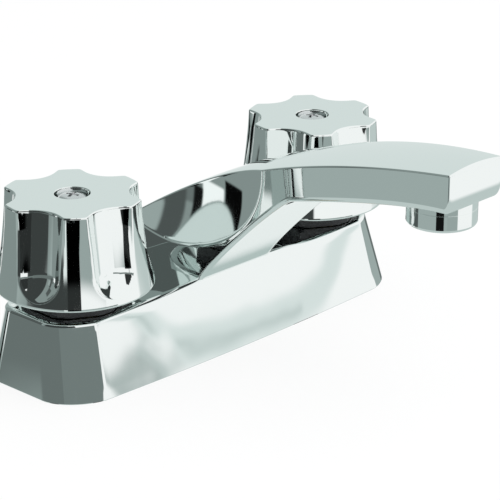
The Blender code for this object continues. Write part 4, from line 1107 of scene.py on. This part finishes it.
def make_floor(studio):
    """A plain pale floor, white to the camera but for the object's shadow.

    It is clear in reflections, so that the chrome mirrors the tent instead.
    """
    half, whiteness = 900, 0.85
    builder = bmesh.new()
    for x, y in ((-half, -half), (half, -half), (half, half), (-half, half)):
        builder.verts.new((x, y, 0.0))
    builder.faces.new(builder.verts)
    material, shader = new_material("floor", studio.floor, 0.0, 0.8)
    tree = material.node_tree
    rays = add_node(tree, "ShaderNodeLightPath").outputs
    glow = result(tree, "ShaderNodeEmission", {"Color": (*WHITE, 1.0), "Strength": 1.0})
    share = calculate(tree, "MULTIPLY", rays["Is Camera Ray"], whiteness)
    blend = result(tree, "ShaderNodeMixShader", {0: share, 1: shader.outputs[0], 2: glow})
    clear = result(tree, "ShaderNodeBsdfTransparent")
    seen = result(tree, "ShaderNodeMixShader", {0: rays["Is Glossy Ray"], 1: blend, 2: clear})
    output = next(node for node in tree.nodes if node.type == "OUTPUT_MATERIAL")
    tree.links.new(seen, output.inputs[0])
    new_object("floor", to_mesh("floor", builder, material))


# What the chrome mirrors: each panel of the tent by its left, right, low and high edge in degrees, how soft
# its edges are, how light it looks in the chrome and how much it climbs per degree. Azimuth 0 is straight in
# front, and a later panel covers an earlier one.
TENT_PANELS = (
    ("rear wall", (105, 155, -15, 95), 10, 0.84, 0),
    ("rear corner", (155, 200, -15, 95), 10, 0.62, 0),
    ("left wall", (-200, -108, -95, 95), 10, 0.54, 0),
    ("dark end of the left wall", (-112, -43, -11.5, 95), 4, 0.25, 0),
    ("floor", (-200, 200, -95, -24), 6, 0.76, 0),
    ("floor at the right", (62, 130, -24, -12.5), 6, 0.76, 0),
    ("floor at the left", (-131, -31, -24, -11), 3, 0.64, 0),
    ("strip beside the slit", (-33, 2, -24, -9), 1.5, 0.62, 0),
    ("foot of the strip", (1, 20, -17, -10.3), 1.5, 0.52, 0),
    ("rail at the left", (-140, -60, -12, -3), 1.5, 0.43, 0.17),
    ("shadow above the slit", (-45, -30, 9.8, 42), 2, 0.2, 0),
    ("rail", (-62, -35, 3, 7.4), 1, 0.47, 0.1),
    ("middle of the rail", (-38, -13, 4.7, 9.5), 1, 0.47, 0),
    ("end of the rail", (-16, 9, 4.4, 8.6), 1, 0.47, -0.2),
    ("line beside the slit", (-57, -52, -18, -9.5), 0.8, 0.9, 0),
    ("top of the slit", (-51.5, -33, -10, -6.8), 0.8, 0.19, 0),
    ("camera's slit", (-51.5, -33, -17.8, -9), 0.8, 0.02, 0),
    ("slit on the floor", (-68, -43, -24, -18.5), 0.8, 0.1, 0),
    ("equipment on the floor", (-152, -131, -24, -19.5), 2, 0.32, 0),
    ("lamp at the left", (-148.8, -140.3, -10.8, -2.5), 1, 0.95, 0),
    ("flag by the lamp", (-158, -149.5, -13.3, 3), 0.8, 0.06, 0),
    ("flag beside the lamp", (-140.3, -137, -8, 3), 1, 0.1, 0),
    ("grey by the flag", (-134.5, -127, -6, 16), 1.5, 0.32, 0),
    ("window", (-127, -119, 2, 14), 2, 0.62, 0),
    ("grey above the flag", (-144, -129, 16.5, 33), 3, 0.34, 0),
    ("cloth at the right", (73, 104, -11, -4.5), 1.5, 0.64, -0.21),
    ("end of the cloth", (104, 125, -18.5, -11.5), 1.5, 0.42, -0.21),
    ("crease at the left", (32.3, 35.5, -1.98, -1.38), 0.6, 0.66, 0.68),
    ("end of the crease", (35, 37.4, 0, 0.3), 0.5, 0.76, 0.42),
    ("slope of the crease", (36.4, 46.5, 0.62, 1.6), 0.45, 0.86, -0.138),
    ("crease", (36.6, 44.6, 0.86, 1.12), 0.28, 0.77, -0.135),
)


def soft_step(tree, value, start, end):
    edges = {"Value": value, "From Min": start, "From Max": end}
    return result(tree, "ShaderNodeMapRange", edges, interpolation_type="SMOOTHSTEP")


def make_world(studio):
    """White to the camera and to plain surfaces. The chrome mirrors a tent with panels."""
    world = bpy.data.worlds.new("tent")
    bpy.context.scene.world = world
    world.use_nodes = True
    tree = world.node_tree
    background = tree.nodes["Background"]
    background.inputs["Strength"].default_value = 1.0
    do = partial(calculate, tree)
    way = add_node(tree, "ShaderNodeTexCoord").outputs["Generated"]
    x, y, z = add_node(tree, "ShaderNodeSeparateXYZ", {0: way}).outputs
    turn = do("DEGREES", do("ARCTAN2", x, do("MULTIPLY", y, -1.0)))
    turn = do("WRAP", turn, 180.0, -180.0)
    rise = do("DEGREES", do("ARCSINE", z))
    seen = studio.tent
    for name, (left, right, low, high), soft, light, climb in TENT_PANELS:
        edge = soft / 2
        level = do("MULTIPLY_ADD", do("SUBTRACT", turn, left), -climb, rise)
        sides = ((turn, left, edge), (turn, right, -edge), (level, low, edge), (level, high, -edge))
        steps = [soft_step(tree, value, side - inward, side + inward) for value, side, inward in sides]
        mask = do("MULTIPLY", do("MULTIPLY", *steps[:2]), do("MULTIPLY", *steps[2:]))
        seen = blend_colours(tree, mask, seen, tent_grey(light, studio.tint), label=name)
    rays = add_node(tree, "ShaderNodeLightPath").outputs["Is Glossy Ray"]
    tree.links.new(blend_colours(tree, rays, WHITE, seen), background.inputs["Color"])


def tent_grey(light, tint):
    """A panel's colour for how light it looks on screen, cooler in its middle tones."""
    linear = light**SCREEN_POWER / CHROME_SHARE
    cool = 4 * light * (1 - light)
    return tuple(linear * mix(1.0, value, cool) for value in tint)


def aim(lamp, location, target):
    """Puts a lamp in place, facing its target."""
    direction = (Vector(target) - Vector(location)).to_track_quat("-Z", "Y")
    lamp.matrix_world = Matrix.Translation(location) @ direction.to_matrix().to_4x4()


def make_lamp(name, location, size, energy):
    """A soft lamp over the faucet, which the chrome doesn't mirror."""
    data = bpy.data.lights.new(name, "AREA")
    data.shape = "RECTANGLE"
    data.size, data.size_y = size
    data.energy = energy
    lamp = new_object(name, data)
    lamp.visible_glossy = False
    aim(lamp, location, (0.0, 0.0, 0.03))


def make_camera(studio):
    azimuth, level = studio.azimuth, math.cos(studio.elevation)
    back = Vector((math.sin(azimuth) * level, -math.cos(azimuth) * level, math.sin(studio.elevation)))
    right = Vector((math.cos(azimuth), math.sin(azimuth), 0.0))
    up = back.cross(right)
    target = Vector((studio.target_x, 0.0, studio.target_z)) * MM
    data = bpy.data.cameras.new("camera")
    data.sensor_width = 36.0
    data.lens = studio.lens
    data.clip_start = 0.01
    camera = new_object("camera", data)
    turn = Matrix((right, up, back)).transposed().to_4x4()
    camera.matrix_world = Matrix.Translation(target + back * studio.distance * MM) @ turn
    bpy.context.scene.camera = camera


class FAUCET_OT_finishes(Operator):
    """Make every finish and give it to the frame's nodes"""

    bl_idname = "faucet.finishes"
    bl_label = "Finishes"

    def execute(self, context):
        made = make_finishes(context.scene.faucet_finishes)
        for name, material in made.items():
            material.name = name + "_finish"
        for part in frame["record"]["subparts"]:
            for slot in frame["nodes"][part["node"]].material_slots:
                slot.material = made[part["material_slot"]]
        return {"FINISHED"}


class FAUCET_OT_casting(Operator):
    """Make the casting: base, pedestal and spout"""

    bl_idname = "faucet.casting"
    bl_label = "Base and spout"

    def execute(self, context):
        make_casting(read_sizes())
        return {"FINISHED"}


class FAUCET_OT_aerator(Operator):
    """Make the aerator's cap under the tip"""

    bl_idname = "faucet.aerator"
    bl_label = "Aerator cap"

    def execute(self, context):
        make_aerator_cap(read_sizes())
        return {"FINISHED"}


class FAUCET_OT_knobs(Operator):
    """Make both scalloped knobs and their screws"""

    bl_idname = "faucet.knobs"
    bl_label = "Knobs and screws"

    def execute(self, context):
        sizes = read_sizes()
        tree = scallop_tree(sizes.knob)
        for water, x in handles(sizes):
            make_knob(water, x, sizes, tree)
            make_knob_screw(water, x, sizes)
        return {"FINISHED"}


class FAUCET_OT_fittings(Operator):
    """Make the bonnet nuts, and the threads and clamping parts below the deck"""

    bl_idname = "faucet.fittings"
    bl_label = "Nuts and threads"

    def execute(self, context):
        sizes = read_sizes()
        threads = thread_tree(sizes.fitting)
        wings = wing_tree(sizes.fitting)
        for water, x in handles(sizes):
            make_bonnet_nut(water, x, sizes)
            make_washer(water, x, sizes)
            make_wing_nut(water, x, sizes, wings)
            make_thread(water, x, sizes, threads)
        return {"FINISHED"}


class FAUCET_OT_stage(Operator):
    """Make the floor, the light tent, the lamp and the camera"""

    bl_idname = "faucet.stage"
    bl_label = "Stage"

    def execute(self, context):
        studio = plain(context.scene.faucet_studio)
        make_floor(studio)
        make_world(studio)
        make_lamp("key", (0.2, -0.5, 0.8), (0.8, 0.8), 3.0)
        make_camera(studio)
        context.scene.view_settings.view_transform = "Standard"
        return {"FINISHED"}


class FAUCET_PT_panel(Panel):
    """Lists the faucet's pieces and their sizes"""

    bl_idname = "FAUCET_PT_panel"
    bl_label = "Faucet"
    bl_space_type = "VIEW_3D"
    bl_region_type = "UI"
    bl_category = "Faucet"

    def draw(self, context):
        layout = self.layout
        for operator, groups in STEPS:
            layout.operator(operator.bl_idname)
            for group in groups:
                settings = getattr(context.scene, group)
                for key in settings.__annotations__:
                    layout.prop(settings, key)


GROUPS = {
    "faucet_base": FaucetBaseSizes,
    "faucet_spout": FaucetSpoutSizes,
    "faucet_knob": FaucetKnobSizes,
    "faucet_fitting": FaucetFittingSizes,
    "faucet_finishes": FaucetFinishes,
    "faucet_studio": FaucetStudio,
}
STEPS = (
    (FAUCET_OT_finishes, ("faucet_finishes",)),
    (FAUCET_OT_casting, ("faucet_base", "faucet_spout")),
    (FAUCET_OT_aerator, ()),
    (FAUCET_OT_knobs, ("faucet_knob",)),
    (FAUCET_OT_fittings, ("faucet_fitting",)),
    (FAUCET_OT_stage, ("faucet_studio",)),
)
CLASSES = (*GROUPS.values(), *(operator for operator, _ in STEPS), FAUCET_PT_panel)


def register():
    for made in CLASSES:
        bpy.utils.register_class(made)
    for name, group in GROUPS.items():
        setattr(bpy.types.Scene, name, PointerProperty(type=group))


def unregister():
    for name in GROUPS:
        delattr(bpy.types.Scene, name)
    for made in reversed(CLASSES):
        bpy.utils.unregister_class(made)


def main():
    register()
    bpy.ops.faucet.finishes()
    bpy.ops.faucet.casting()
    bpy.ops.faucet.aerator()
    bpy.ops.faucet.knobs()
    bpy.ops.faucet.fittings()
    bpy.ops.faucet.stage()


if __name__ == "__main__":
    main()
